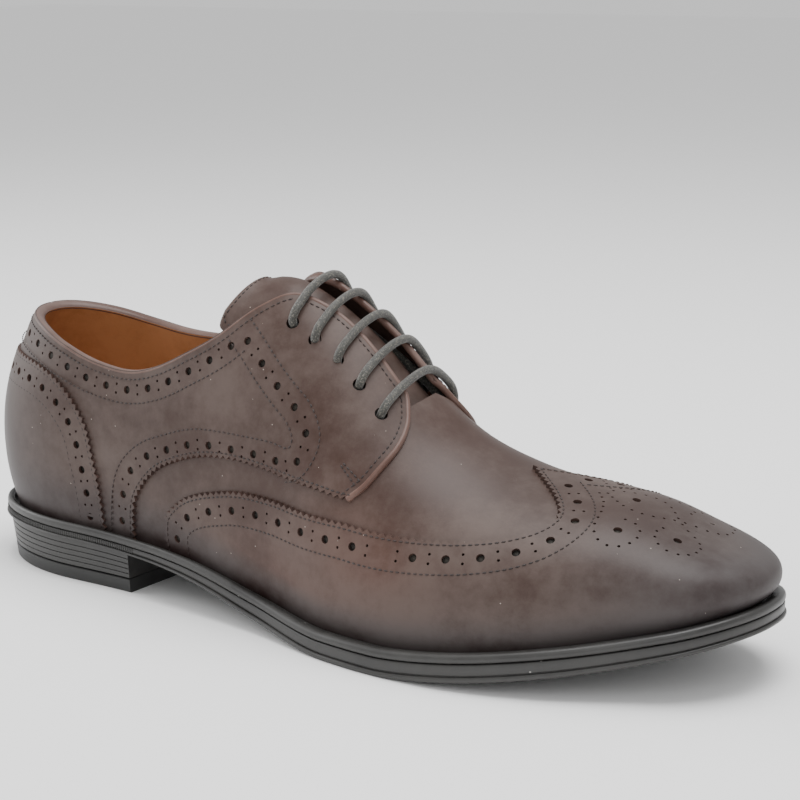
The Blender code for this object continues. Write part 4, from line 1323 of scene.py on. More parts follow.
@dataclass
class Lacing:
    """Eyelets and the lace's way through them."""

    last: Last
    eyelet_radius: float = 2.2 * MM
    pitch: float = 9.1 * MM
    count: int = 5
    setback: float = 14.5 * MM
    facing_top: float = 158 * MM
    first: float = 141 * MM
    radius: float = 1.55 * MM
    bend: float = 2.3 * MM
    gap: float = 0.5 * MM
    side_step: float = 4.4 * MM
    leather: float = 1.3 * MM
    slot: float = 4.6 * MM
    throat_round: float = 5 * MM
    drawn: float = 0.92
    corners: int = 14
    step: float = 0.7 * MM

    def station(self, index: float) -> float:
        """Station of an eyelet, counted from the top."""
        return (self.first + index * self.pitch) / self.last.length

    def rise(self, side: int, station: float, shift: float = 0.0) -> float:
        """Rise of the row of eyelets, or of a line beside it, shifted towards the ridge."""
        edge = self.last.collar_rise(side, np.maximum(station, self.facing_top / self.last.length))
        return self.last.climb(side, np.asarray(station, float), edge, shift - self.setback)

    def slot_rise(self, side: int, station: Array) -> Array:
        """Upper edge of the base: top line, slot outside the eyelets, or ridge in front of the throat."""
        start = self.station(0) - self.setback / self.last.length
        collar = self.last.collar_rise(side, station)
        low = np.minimum(collar, self.rise(side, station, -self.slot))
        share = np.clip((station - self.station(self.count - 1)) * self.last.length / self.throat_round, 0, 1)
        slot = 1 - (1 - low) * np.sqrt(1 - share ** 2)
        return np.where(station <= start, collar, slot)

    def spot(self, side: int, station: float, rise: float, depth: float) -> Array:
        """One point of the skin at a depth."""
        turn = side * self.last.turn_of(station)
        return self.last.skin(np.array([turn], float), np.array([rise], float), depth)[0]

    def route(self) -> Array:
        """Middle line of the lace: from its hidden end down under one facing, then up bar by bar."""
        over = -(self.gap * 0.2 + self.radius)
        under = self.leather + self.gap + self.radius
        turn_in = self.bend * (1 - math.cos(math.radians(45)))
        half_bend = self.bend * math.sin(math.radians(45))
        points: list[Array] = []
        bottom = self.count - 1
        for index in range(self.count):
            station = self.station(index)
            points.append(self.spot(1, station, float(self.rise(1, station, self.side_step)), under))

        def hole(index: int, side: int, upwards: bool) -> None:
            station = self.station(index)
            rise = float(self.rise(side, station))
            away = unit(self.spot(side, station, rise + 0.01, 0) - self.spot(side, station, rise, 0))
            middle = (under + over) / 2
            steps = [(under - turn_in, 0.0), (middle, 0.0), (over + turn_in, self.bend - half_bend),
                     (over, self.bend)]
            ways = [self.spot(side, station, rise, depth) + away * shift for depth, shift in steps]
            points.extend(ways if upwards else ways[::-1])

        side = 1
        for index in range(bottom, -1, -1):
            station = self.station(index)
            hole(index, side, True)
            for here, ways in ((side, (0.6, 1.0)), (-side, (1.0, 0.6))):
                rise = float(self.rise(here, station))
                room = float(self.last.collar_rise(here, station)) - rise
                points.extend(self.spot(here, station, rise + room * way, over) for way in ways)
            side = -side
            hole(index, side, False)
            if index:
                for share in (0.35, 0.65):
                    between = self.station(index - share)
                    points.append(self.spot(side, between, float(self.rise(side, between)), under))
        return np.array(points)

    def build(self, finish: Material) -> None:
        """Build the lace as one round cord with its own UV map."""
        route = self.route()
        walked = distances(route)
        at = np.arange(0, walked[-1], self.step)
        line = np.stack([smooth(walked, column, at) for column in route.T], axis=1)
        along = unit(np.gradient(line, axis=0))
        across = [unit(np.cross(along[0], (0, 0, 1)))]
        for direction in along[1:]:
            across.append(unit(across[-1] - direction * np.dot(across[-1], direction)))
        across = np.array(across)
        up = np.cross(along, across)
        angle = round_angles(self.corners)
        profile = np.stack([np.cos(angle), np.sin(angle)], axis=1) * self.radius * self.drawn
        points, faces = sweep(line, across, up, profile)
        piece = new_object("lace_cord", points, faces)
        mend(piece)
        layer = piece.data.uv_layers.new(name="lace")
        for loop in piece.data.loops:
            ring, corner = divmod(loop.vertex_index, self.corners)
            layer.data[loop.index].uv = (at[ring] / MM, corner)
        piece.data.shade_smooth()
        dress(piece, ["lace"], [finish])


@dataclass
class Upper:
    """Base, overlays, binding, stitches and holes of the upper."""

    last: Last
    lacing: Lacing
    leather: float = 1.3 * MM
    base_depth: float = 1.35 * MM
    base_thickness: float = 2.55 * MM
    tooth_pitch: float = 2.7 * MM
    tooth_depth: float = 1.25 * MM
    stitch_pitch: float = 2.1 * MM
    stitch_size: tuple[float, float, float] = (1.55 * MM, 0.6 * MM, 0.5 * MM)
    stitch_depth: float = -0.03 * MM
    counter_stitch_depth: float = -0.25 * MM
    edge_stitch: float = 1.9 * MM
    band_middle: float = 6.6 * MM
    band_stitch: float = 11.6 * MM
    collar_stitch: float = 11.3 * MM
    binding_stitch: float = 3.0 * MM
    swan_half: float = 5.2 * MM
    wing_pitch: float = 10.9 * MM
    counter_pitch: float = 8.6 * MM
    swan_pitch: float = 10.2 * MM
    collar_pitch: float = 9.6 * MM
    binding_width: float = 1.15 * MM
    binding_inset: float = 0.7 * MM
    binding_corners: int = 16
    binding_step: float = 1.2 * MM
    bead_depth: tuple[float, float] = (1.95 * MM, 0.95 * MM)
    bead_height: tuple[float, float] = (2.05 * MM, 1.20 * MM)
    facing_zone: tuple[float, float] = (0.44, 0.49)
    facing_end: float = 0.604
    back_turn: float = 0.0012
    slit: float = 0.0001
    tack_step: float = 2.4 * MM
    tack_reach: tuple[float, float] = (3.2 * MM, 10.5 * MM)
    tack_stitches: int = 5
    under_counter: float = 4 * MM
    counter_dip: float = 0.7 * MM
    counter_lift: float = 0.4 * MM
    stitches: list[Row] = field(default_factory=list)
    counter_rows: Rows = table(
        "station rise",
        (0.000, 0.297),
        (0.050, 0.282),
        (0.100, 0.258),
        (0.140, 0.22),
        (0.170, 0.17),
        (0.193, 0.11),
        (0.206, 0.03),
        (0.214, -0.30),
        (0.217, -1.00),
    )
    quarter_edge: Rows = table(
        "station rise",
        (0.262, -1.00),
        (0.266, -0.50),
        (0.270, -0.22),
        (0.277, -0.03),
        (0.289, 0.028),
        (0.308, 0.064),
        (0.333, 0.095),
        (0.363, 0.127),
        (0.393, 0.155),
        (0.423, 0.180),
        (0.463, 0.208),
        (0.502, 0.237),
        (0.530, 0.265),
        (0.557, 0.297),
        (0.580, 0.325),
        (0.596, 0.350),
    )
    quarter_front: Rows = table(
        "station rise",
        (0.596, 0.350),
        (0.610, 0.430),
        (0.621, 0.546),
        (0.627, 0.675),
        (0.622, 0.775),
        (0.610, 0.840),
    )
    wing_rows: Rows = table(
        "station rise",
        (0.3135, -1.00),
        (0.314, -0.55),
        (0.318, -0.25),
        (0.328, -0.07),
        (0.345, 0.022),
        (0.368, 0.050),
        (0.395, 0.078),
        (0.425, 0.109),
        (0.484, 0.156),
        (0.544, 0.208),
        (0.605, 0.286),
        (0.666, 0.362),
        (0.710, 0.406),
        (0.745, 0.447),
        (0.780, 0.505),
        (0.800, 0.570),
        (0.806, 0.610),
        (0.810, 0.675),
        (0.806, 0.735),
        (0.797, 0.790),
        (0.783, 0.850),
        (0.765, 0.910),
        (0.750, 0.955),
        (0.735, 1.000),
    )
    swan_rows: Rows = table(
        "station rise",
        (0.413, 0.53),
        (0.438, 0.50),
        (0.462, 0.47),
        (0.488, 0.45),
        (0.514, 0.44),
        (0.530, 0.39),
        (0.518, 0.30),
        (0.478, 0.255),
        (0.440, 0.22),
        (0.402, 0.19),
        (0.363, 0.16),
        (0.323, 0.12),
        (0.286, 0.08),
        (0.263, 0.035),
        (0.252, -0.10),
        (0.247, -0.49),
        (0.243, -0.90),
    )

    def seam(self, side: int, rows: Rows, count: int) -> Seam:
        """Smooth line of a table on one side."""
        return Seam.through(self.last, side, rows["station"], rows["rise"], count)

    def sew(self, seam: Seam, depth: float | None = None) -> None:
        """Sew a row of stitches along a line, at the usual depth or at another one."""
        depth = self.stitch_depth if depth is None else depth
        self.stitches.append(Row.of(seam.spaced(self.stitch_pitch), depth))

    def bare(self, turns: Sequence[float], rises: Sequence[float], count: int = 100) -> Seam:
        """Straight line on the chart, for an outline's hidden edges."""
        t = np.linspace(0, 1, count)
        places = np.linspace(0, 1, len(turns))
        return Seam(self.last, np.interp(t, places, turns), np.interp(t, places, rises))

    def toe_fold(self) -> tuple[Seam, Seam]:
        """Up the middle of the toe on the outer side and down again on the inner side."""
        return self.bare((-1.0, -1.0), (-1.0, 1.0)), self.bare((1.0, 1.0), (1.0, -1.0))

    def collar(self, side: int, start: float, end: float, count: int = 160) -> Seam:
        """Top line and facing edge of one side between two stations."""
        turns = np.linspace(float(self.last.turn_of(start)), float(self.last.turn_of(end)), count)
        return Seam(self.last, side * turns, self.last.collar_rise(side, self.last.station_of(turns)))

    def build_base(self, palette: Palette) -> None:
        """Vamp and lining in one wall, open at the collar and the throat."""
        turns = np.linspace(0, 1, 320)
        station = self.last.station_of(turns)
        edges = []
        for side in (1, -1):
            rise = self.lacing.slot_rise(side, station)
            keep = rise < 1 - 1e-9
            edges.append(Seam(self.last, side * turns[keep], rise[keep]))
        inner, outer = edges
        tip = float(self.last.turn_of(self.lacing.station(self.lacing.count - 1)
                                      + self.lacing.throat_round / self.last.length))
        outer = outer.back()
        outline = [
            inner,
            Seam(self.last, np.array([tip]), np.array([1.0])),
            outer,
            self.bare((-self.slit, -self.slit), (outer.rise[-1] - 0.01, -1.0)),
            self.bare((-self.slit, -1.0), (-1.0, -1.0), 200),
            *self.toe_fold(),
            self.bare((1.0, 0.0), (-1.0, -1.0), 200),
            self.bare((0.0, 0.0), (-1.0, inner.rise[0] - 0.01)),
        ]
        hide = Hide(self.last, "vamp_and_lining", Unfold.OVER_RIDGE, outline, thickness=self.base_thickness,
                    depth=lambda turn, rise: np.full_like(turn, self.base_depth))
        dress(hide.lay(), ["upper"], [palette.leather, palette.cut_edge, palette.lining])

    def build_wing(self, palette: Palette, brogueing: Brogueing) -> None:
        """Winged toe cap with gimped edge, brogue band and medallion."""
        outline = []
        holes: list[Array] = []
        for side in (1, -1):
            edge = self.seam(side, self.wing_rows, 500)
            teeth = edge.gimped(self.tooth_pitch, -side * self.tooth_depth)
            teeth.turn[0], teeth.rise[0] = edge.turn[0], -1.0
            teeth.turn[-1], teeth.rise[-1] = edge.turn[-1], 1.0
            outline.append(teeth)
            band = edge.inset(-side * self.band_middle)
            band = band.part((band.rise > -0.95) & (band.rise < 0.985))
            holes += brogueing.band(Unfold.OVER_RIDGE, band, self.wing_pitch)
            for distance in (self.edge_stitch, self.band_stitch):
                line = edge.inset(-side * distance)
                self.sew(line.part((line.rise > -0.99) & (line.rise < 1.0)))
        holes += brogueing.medallion(Medallion(self.last))
        right, left = outline
        start = abs(float(right.turn[0]))
        around = [
            right,
            left.back(),
            self.bare((-start, -1.0), (-1.0, -1.0), 160),
            *self.toe_fold(),
            self.bare((1.0, start), (-1.0, -1.0), 160),
        ]
        hide = Hide(self.last, "wing_cap_leather", Unfold.OVER_RIDGE, around, holes, thickness=self.leather)
        dress(hide.lay(), ["wing_cap"], palette.overlay)

    def build_counter(self, palette: Palette, brogueing: Brogueing) -> None:
        """Heel counter, which lies over the quarters."""
        half = {side: self.seam(side, self.counter_rows, 300) for side in (1, -1)}
        edge = half[-1].back().joined(half[1].part(slice(1, None)))
        teeth = edge.gimped(self.tooth_pitch, -self.tooth_depth)
        teeth.turn[0], teeth.rise[0] = edge.turn[0], -1.0
        teeth.turn[-1], teeth.rise[-1] = edge.turn[-1], -1.0
        foot = self.bare((edge.turn[-1], edge.turn[0]), (-1.0, -1.0), 120)
        band = edge.inset(-self.band_middle).above_foot()
        holes = brogueing.band(Unfold.ROUND_SIDE, band, self.counter_pitch)
        for distance in (self.edge_stitch, self.band_stitch):
            self.sew(edge.inset(-distance).above_foot(), self.counter_stitch_depth)

        def depth(turn: Array, rise: Array) -> Array:
            away = edge.flat_distance(Unfold.ROUND_SIDE, turn, rise)
            return -self.counter_lift * (1 - ease(away, 9.0, 22.0))

        hide = Hide(self.last, "counter_leather", Unfold.ROUND_SIDE, [teeth, foot], holes, depth,
                    self.leather, weld=False)
        dress(hide.lay(), ["counter"], palette.overlay)

    def build_quarter(self, side: int, name: str, node: str, palette: Palette, brogueing: Brogueing) -> None:
        """One lacing quarter with its collar band, swan-neck band, eyelets and bar tack."""
        counter = self.seam(side, self.counter_rows, 200)
        tucked = counter.beside(-side * self.under_counter)
        tucked.turn[0] = side * self.back_turn
        tucked.rise[-1] = -1.0
        edge = self.seam(side, self.quarter_edge, 400)
        teeth = edge.gimped(self.tooth_pitch, side * self.tooth_depth)
        teeth.turn[0], teeth.rise[0] = edge.turn[0], -1.0
        front = self.seam(side, self.quarter_front, 80)
        top = self.collar(side, 0.0, self.facing_end)
        top.turn[0] = side * self.back_turn
        outline = [
            tucked,
            self.bare((tucked.turn[-1], edge.turn[0]), (-1.0, -1.0), 20),
            teeth,
            front,
            top.back(),
            self.bare((side * self.back_turn, side * self.back_turn), (top.rise[0], tucked.rise[0]), 20),
        ]
        holes = self.punch_quarter(side, brogueing)

        def depth(turn: Array, rise: Array) -> Array:
            away = counter.flat_distance(Unfold.ROUND_SIDE, turn, rise)
            return self.counter_dip * (1 - ease(away, 1.0, 7.0))

        hide = Hide(self.last, name, Unfold.ROUND_SIDE, outline, holes, depth, self.leather, weld=False)
        dress(hide.lay(), [node], palette.overlay)
        self.sew_quarter(side, edge, front)

    def punch_quarter(self, side: int, brogueing: Brogueing) -> list[Array]:
        """Flat outlines of a quarter's eyelets and brogue holes."""
        stations = [self.lacing.station(index) for index in range(self.lacing.count)]
        rise = np.array([float(self.lacing.rise(side, station)) for station in stations])
        turn = side * self.last.turn_of(np.array(stations))
        holes = round_holes(self.last, Unfold.ROUND_SIDE, turn, rise, self.lacing.eyelet_radius, 20)
        swan = self.seam(side, self.swan_rows, 400).above_foot()
        holes += brogueing.band(Unfold.ROUND_SIDE, swan, self.swan_pitch)
        collar = self.collar(side, 0.004, 0.402).beside(-side * self.band_middle)
        holes += brogueing.band(Unfold.ROUND_SIDE, collar, self.collar_pitch)
        return holes

    def sew_quarter(self, side: int, edge: Seam, front: Seam) -> None:
        """Stitches of a quarter: lower edge, front, facing, collar band and both sides of the swan neck."""
        self.sew(edge.inset(side * self.edge_stitch).above_foot())
        facing = self.collar(side, 0.47, 0.600).back()
        self.sew(front.joined(facing).beside(side * self.binding_stitch))
        self.sew(self.collar(side, 0.002, 0.455).beside(-side * self.binding_stitch))
        self.sew(self.collar(side, 0.004, 0.398).beside(-side * self.collar_stitch))
        swan = self.seam(side, self.swan_rows, 400).above_foot()
        self.sew(swan.inset(-side * self.swan_half))
        head = len(swan.turn) * 3 // 8
        self.sew(swan.part(slice(head)).inset(side * self.swan_half))
        self.sew_tack(side, front)

    def sew_tack(self, side: int, front: Seam) -> None:
        """Two short rows across the lower front corner, where the quarter takes the strain."""
        line = front.spaced(self.tack_step)
        reach = np.linspace(*self.tack_reach, self.tack_stitches)[:, None]
        _, left, _ = line.frames()
        for place in (2, 3):
            turn = np.full(self.tack_stitches, line.turn[place])
            rise = np.full(self.tack_stitches, line.rise[place])
            row = Seam(self.last, *self.last.moved(turn, rise, left[place] * -side * reach))
            self.stitches.append(Row.of(row, self.stitch_depth))

    def build_binding(self, palette: Palette) -> None:
        """Rolled edge round top line, facings and fronts, in one bead."""
        parts = []
        for side in (-1, 1):
            front = self.seam(side, self.quarter_front, 60)
            top = self.collar(side, 0.0, self.facing_end, 240)
            half = front.joined(top.back())
            parts.append(half if side < 0 else half.back())
        path = parts[0].joined(parts[1].part(slice(1, None))).spaced(self.binding_step)
        for _ in range(2):
            soften(path.turn)
            soften(path.rise)
        _, left, out = path.frames()
        facing = ease(self.last.station_of(np.abs(path.turn)), *self.facing_zone)
        beads = (self.bead_depth, self.bead_height)
        depth, tall = (round_top * (1 - facing) + front * facing for round_top, front in beads)
        centre = path.points(depth) + left * self.binding_inset
        corners = self.binding_corners
        angle = round_angles(corners)
        profile = np.stack([
            np.broadcast_to(np.cos(angle) * self.binding_width, (len(tall), corners)),
            np.sin(angle) * tall[:, None],
        ], axis=-1)
        points, faces = sweep(centre, left, out, profile)
        piece = new_object("collar_binding", points, faces)
        tint(piece, self.last, np.repeat(path.turn, corners), np.repeat(path.rise, corners))
        mend(piece)
        piece.data.shade_smooth()
        dress(piece, [], [palette.binding])

    def build(self, palette: Palette) -> None:
        """Build every leather piece, then its stitches and the dark discs of painted shade in its holes."""
        brogueing = Brogueing(self.last)
        self.build_base(palette)
        self.build_wing(palette, brogueing)
        self.build_counter(palette, brogueing)
        self.build_quarter(-1, "quarter_outer_leather", "quarter_lateral", palette, brogueing)
        self.build_quarter(1, "quarter_inner_leather", "quarter_medial", palette, brogueing)
        self.build_binding(palette)
        tree = copies_tree(Copy.STITCH, palette.thread)
        lay_copies("upper_stitches", self.stitches, tree, self.stitch_size)
        # Dark discs in the punched holes: painted shade inside them.
        tree = copies_tree(Copy.HOLE_SHADE, palette.painted_hole_shade)
        lay_copies("brogue_hole_shade", [brogueing.shade_disc_row()], tree, brogueing.shade_disc_size)


@dataclass
class Tongue:
    """Tongue under the facings, held by the last's form in front and arched free behind."""

    last: Last
    lacing: Lacing
    thickness: float = 2.4 * MM
    width: float = 62 * MM
    drop: float = 5.5 * MM
    arch: float = 14 * MM
    lean: float = 5 * MM
    swing: float = 1.5 * MM
    spread_outer: float = 0.70
    spread_inner: float = 0.45
    wall_depth: float = 3.9 * MM
    layer_gap: float = 0.6 * MM
    wall: float = 2.0 * MM
    stitch_inset: float = 3 * MM
    stitch_pitch: float = 2.1 * MM
    stitch_size: tuple[float, float, float] = (1.55 * MM, 0.5 * MM, 0.5 * MM)
    head_row: int = 5
    side_edge: float = 14
    head_edge: float = 26
    crowding: float = 1.35
    across_count: int = 48
    along_count: int = 90
    down_count: int = 160
    rows: Rows = table(
        "station width sink free",
        (0.384, 0.80, 1.0, 1.00),
        (0.388, 0.93, 1.2, 0.97),
        (0.397, 1.00, 1.6, 0.80),
        (0.415, 1.00, 2.0, 0.30),
        (0.445, 1.00, 1.4, 0.00),
        (0.490, 0.97, 1.0, 0.00),
        (0.545, 0.92, 1.2, 0.00),
        (0.600, 0.86, 1.5, 0.00),
        (0.635, 0.78, 0.9, 0.00),
        (0.660, 0.70, 0.4, 0.00),
    )

    def surface(self) -> Array:
        """Upper face as a grid of points, along by across."""
        lace = self.lacing
        room = 2 * lace.gap + 2 * lace.radius - self.layer_gap - self.wall
        head, tip = self.rows["station"][0], self.rows["station"][-1]
        stations = head + (tip - head) * np.linspace(0, 1, self.along_count) ** self.crowding
        grid = []
        for station in stations:
            width = float(self.last.read(self.rows, "width", station))
            sink = float(self.last.read(self.rows, "sink", station))
            free = float(np.clip(self.last.read(self.rows, "free", station), 0, 1))
            depth = self.wall_depth + room * sink
            turn = float(self.last.turn_of(station))
            line = {}
            for side in (-1, 1):
                rises = np.linspace(1.0, 0.0, self.down_count)
                down = self.last.skin(np.full(self.down_count, side * turn), rises, depth)
                walked = distances(down)
                share = np.linspace(0, 1, self.across_count // 2 + 1)
                reach = share * width * self.width / 2
                held = along_line(reach, walked, down)
                fall = (share * width) ** 2
                side_step = reach * self.spread_inner if side > 0 else -reach * self.spread_outer
                hang = [-fall * self.lean, side_step - self.swing, -self.drop - fall * self.arch]
                line[side] = held * (1 - free) + (down[0] + np.stack(hang, axis=1)) * free
            grid.append(np.concatenate([line[-1][:0:-1], line[1]]))
        return np.array(grid)

    def build(self, palette: Palette) -> None:
        """Padded leaf with round edges, and the stitches inside them."""
        top = self.surface()
        count, across = top.shape[:2]
        along = np.gradient(top, axis=0)
        sideways = np.gradient(top, axis=1)
        out = unit(np.cross(along, sideways))
        out = np.where((out[..., 2] < 0)[..., None], -out, out)
        u = np.abs(np.linspace(-1, 1, across))[None, :, None]
        v = np.linspace(0, 1, count)[:, None, None]
        rounding = (1 - u ** self.side_edge) ** 0.5 * np.clip(v * self.head_edge, 0, 1) ** 0.5
        middle = top - out * self.thickness / 2
        upper = middle + out * self.thickness / 2 * rounding
        lower = middle - out * self.thickness / 2 * rounding
        points = np.concatenate([upper.reshape(-1, 3), lower.reshape(-1, 3)])
        faces = []
        base = count * across
        for i in range(count - 1):
            for k in range(across - 1):
                a, b = i * across + k, (i + 1) * across + k
                faces.append((a, b, b + 1, a + 1))
                faces.append((base + a, base + a + 1, base + b + 1, base + b))
        for i in range(count - 1):
            for k in (0, across - 1):
                a, b = i * across + k, (i + 1) * across + k
                faces.append((a, b, base + b, base + a))
        last = (count - 1) * across
        for k in range(across - 1):
            for row in (0, last):
                faces.append((row + k, row + k + 1, base + row + k + 1, base + row + k))
        piece = new_object("tongue_leather", points, faces)
        tag_points(piece, "burnish_and_shade", np.zeros(len(points)))
        tag_points(piece, "blush", np.full(len(points), 0.25))
        mend(piece, MM / 100)
        smooth_shaded(piece, 60)
        dress(piece, ["tongue"], [palette.leather])
        self.sew(top, out, palette)

    def sew(self, top: Array, out: Array, palette: Palette) -> None:
        """Row of stitches inside the tongue's edge."""
        count, across = top.shape[:2]
        share = self.stitch_inset / (self.width / 2)
        k = round(share * across / 2)
        i = self.head_row
        index = [(row, k) for row in range(count - 1, i, -1)]
        index += [(i, column) for column in range(k, across - k)]
        index += [(row, across - 1 - k) for row in range(i, count)]
        rows, columns = np.array(index).T
        points = top[rows, columns]
        normals = out[rows, columns]
        walked = distances(points)
        at = np.arange(0, walked[-1], self.stitch_pitch)
        points = along_line(at, walked, points)
        normals = unit(along_line(at, walked, normals))
        row = Row(points, unit(np.gradient(points, axis=0)), normals, np.ones(len(points)))
        tree = copies_tree(Copy.STITCH, palette.thread)
        lay_copies("tongue_stitches", [row], tree, self.stitch_size)


@dataclass
class Bottom:
    """Insole, welt, outsole and heel, each a form through rings from top to underside."""

    last: Last
    insole_thickness: float = 3.0 * MM
    insole_inset: float = 6.5 * MM
    breast: float = 77 * MM
    heel_taper: float = 1.6 * MM
    heel_inset: float = 0.5 * MM
    lift: float = 5.0 * MM
    columns: int = 260
    stack_lines: int = 4
    line_depth: float = 0.3 * MM
    line_edge: float = 0.022
    line_floor: float = 0.008
    stack_share: float = 0.7
    rib_pitch: float = 1.05 * MM
    rib_size: tuple[float, float, float] = (2.3 * MM, 0.6 * MM, 0.5 * MM)
    rib_end: float = 0.27
    rib_sink: float = 0.05
    rib_level: float = 0.34

    def ring(self, out: Callable[[Array], Array], height: Callable[[Array], Array], end: float = 1.0,
             tilt: float = 0.0) -> tuple[Array, Array]:
        """Points round the bottom, heel to an end station, on the inner and on the outer side.

        Args:
            out: How far beyond the widest line, by station.
            height: Height by station.
            end: Last station.
            tilt: How far the back of the heel moves forwards.

        Returns:
            The points of the inner side and of the outer side.
        """
        turns = float(self.last.turn_of(end)) * np.arange(self.columns + 1) / self.columns
        station = self.last.station_of(turns)
        halves = []
        for side in (1, -1):
            points = self.last.plan_out(side * turns, out(station))
            points[0] = self.last.plan_out(np.zeros(1), out(np.zeros(1)))[0]
            points[:, 0] += tilt * (1 - station / end)
            points[:, 2] = height(station)
            halves.append(points - self.last.middle)
        return halves[0], halves[1]

    def stack(self, name: str, rings: Sequence[tuple[Array, Array]]) -> Piece:
        """Solid through rings from top to bottom."""
        width = self.columns + 1
        points = np.concatenate([half for ring in rings for half in ring])
        faces = []

        def at(level: int, half: int, k: int) -> int:
            return (level * 2 + half) * width + k

        under = len(rings) - 1
        for k in range(self.columns):
            faces.append((at(0, 0, k), at(0, 0, k + 1), at(0, 1, k + 1), at(0, 1, k)))
            faces.append((at(under, 0, k), at(under, 1, k), at(under, 1, k + 1), at(under, 0, k + 1)))
            for level in range(under):
                for half in (0, 1):
                    faces.append((at(level, half, k), at(level, half, k + 1),
                                  at(level + 1, half, k + 1), at(level + 1, half, k)))
        last = self.columns
        for level in range(under):
            faces.append((at(level, 0, last), at(level, 1, last),
                          at(level + 1, 1, last), at(level + 1, 0, last)))
        piece = new_object(name, points, faces)
        mend(piece, MM / 50, MM / 100)
        smooth_shaded(piece, 50)
        return piece

    def build_insole(self, palette: Palette) -> None:
        """Sock that covers the bottom of the inside, with a soft round edge."""
        last = self.last
        rings = []
        for inset, high in ((1.2, 1.0), (0.3, 0.97), (0.0, 0.85), (0.0, 0.1), (0.3, 0.0)):
            rings.append(self.ring(
                lambda station: np.full_like(station, -self.insole_inset - inset * MM),
                lambda station: last.foot_height(station) + high * self.insole_thickness,
            ))
        dress(self.stack("sock_lining", rings), ["insole"], [palette.lining])

    def build_welt(self, palette: Palette) -> None:
        """Rounded rubber rand round the foot of the upper."""
        last = self.last
        turns = last.wrapped(np.arange(2 * self.columns) / self.columns)
        station = last.station_of(np.abs(turns))
        inner = last.fit_gap * 0.3 + last.overhang(station)
        width = last.welt_reach(station) - inner
        base = last.seat_height(station) + last.fit_gap
        section = ((0.00, 0.00), (0.90, 0.00), (0.985, 0.10), (1.03, 0.30), (1.03, 0.52),
                   (0.985, 0.74), (0.90, 0.90), (0.76, 1.00), (0.60, 1.03), (0.42, 1.00),
                   (0.28, 0.90), (0.16, 0.80), (0.00, 0.78))
        rings = []
        for out, up in section:
            points = last.plan_out(turns, inner + out * width)
            points[:, 2] = base + up * last.welt_height
            rings.append(points - last.middle)
        rings = np.stack(rings, axis=1)
        piece = new_object("welt_rand", rings.reshape(-1, 3), tube_faces(*rings.shape[:2], closed=True))
        mend(piece)
        smooth_shaded(piece, 60)
        dress(piece, ["welt"], [palette.rubber])

    def build_outsole(self, palette: Palette) -> None:
        """Outsole with a rounded side and a groove above its lip."""
        last = self.last
        side = ((-3.0, 0.0), (-1.0, 0.0), (-0.35, 0.03), (-0.1, 0.09), (-0.1, 0.56),
                (-0.4, 0.62), (-0.95, 0.645), (-0.95, 0.67), (0.3, 0.70), (0.85, 0.74),
                (1.0, 0.80), (1.0, 0.88), (0.7, 0.95), (0.0, 0.99), (-1.5, 1.0))
        rings = []
        for out, drop in side:
            rings.append(self.ring(
                lambda station: last.welt_reach(station) + out * last.lip,
                lambda station: last.seat_height(station) * (1 - drop) + last.under_height(station) * drop,
            ))
        dress(self.stack("outsole_rubber", rings), ["outsole"], [palette.rubber])

    def build_ribs(self, palette: Palette) -> None:
        """Fine upright ribs round the edge above the heel."""
        last = self.last
        sink = self.rib_sink * last.lip
        end = float(last.turn_of(self.rib_end))
        dense = np.linspace(-end, end, 900)
        line = last.plan_out(dense, last.welt_reach(last.station_of(np.abs(dense))) - sink)
        walked = distances(line)
        turns = np.interp(np.arange(0, walked[-1], self.rib_pitch), walked, dense)
        station = last.station_of(np.abs(turns))
        points = last.plan_out(turns, last.welt_reach(station) - sink)
        high, low = last.seat_height(station), last.under_height(station)
        points[:, 2] = high * (1 - self.rib_level) + low * self.rib_level
        out = unit(points - last.plan_out(turns, np.zeros_like(station)) * (1, 1, 0) - points * (0, 0, 1))
        along = np.tile([0.0, 0.0, 1.0], (len(points), 1))
        row = Row(points - last.middle, along, out, np.ones(len(points)))
        lay_copies("edge_ribs", [row], copies_tree(Copy.RIB, palette.rubber), self.rib_size)

    def heel_out(self, share: float, cut: float) -> Callable[[Array], Array]:
        """How far the heel stands out at a share of the way down, less a groove."""
        less = self.last.lip + self.heel_inset + self.heel_taper * share / 2 + cut
        return lambda station: self.last.welt_reach(station) - less

    def build_heel(self, palette: Palette) -> None:
        """Stacked heel with its thin lines, and the lift that it stands on."""
        last = self.last
        end = self.breast / last.length
        seam = self.lift + last.fit_gap
        levels = [(0.0, 0.0), (0.004, 0.0)]
        for line in range(1, self.stack_lines + 1):
            at = line / (self.stack_lines + 1)
            levels += [(at - self.line_edge, 0.0), (at - self.line_floor, self.line_depth),
                       (at + self.line_floor, self.line_depth), (at + self.line_edge, 0.0)]
        levels += [(0.97, 0.0), (1.0, 0.4 * MM)]
        rings = []
        for down, cut in levels:
            share = self.stack_share * down
            rings.append(self.ring(
                self.heel_out(share, cut),
                lambda station: (last.under_height(station) - last.fit_gap) * (1 - down) + seam * down,
                end, self.heel_taper * share,
            ))
        dress(self.stack("heel_stack", rings), ["heel_block"], [palette.rubber])
        rings = []
        for down, cut in ((0.0, 0.45 * MM), (0.06, 0.0), (0.90, 0.0), (1.0, 0.4 * MM)):
            share = self.stack_share + (1 - self.stack_share) * down
            rings.append(self.ring(
                self.heel_out(share, cut),
                lambda station: np.full_like(station, self.lift * (1 - down)),
                end, self.heel_taper * share,
            ))
        dress(self.stack("heel_lift", rings), ["top_lift"], [palette.lift])

    def build(self, palette: Palette) -> None:
        """Build every piece of the bottom."""
        self.build_insole(palette)
        self.build_welt(palette)
        self.build_outsole(palette)
        self.build_ribs(palette)
        self.build_heel(palette)


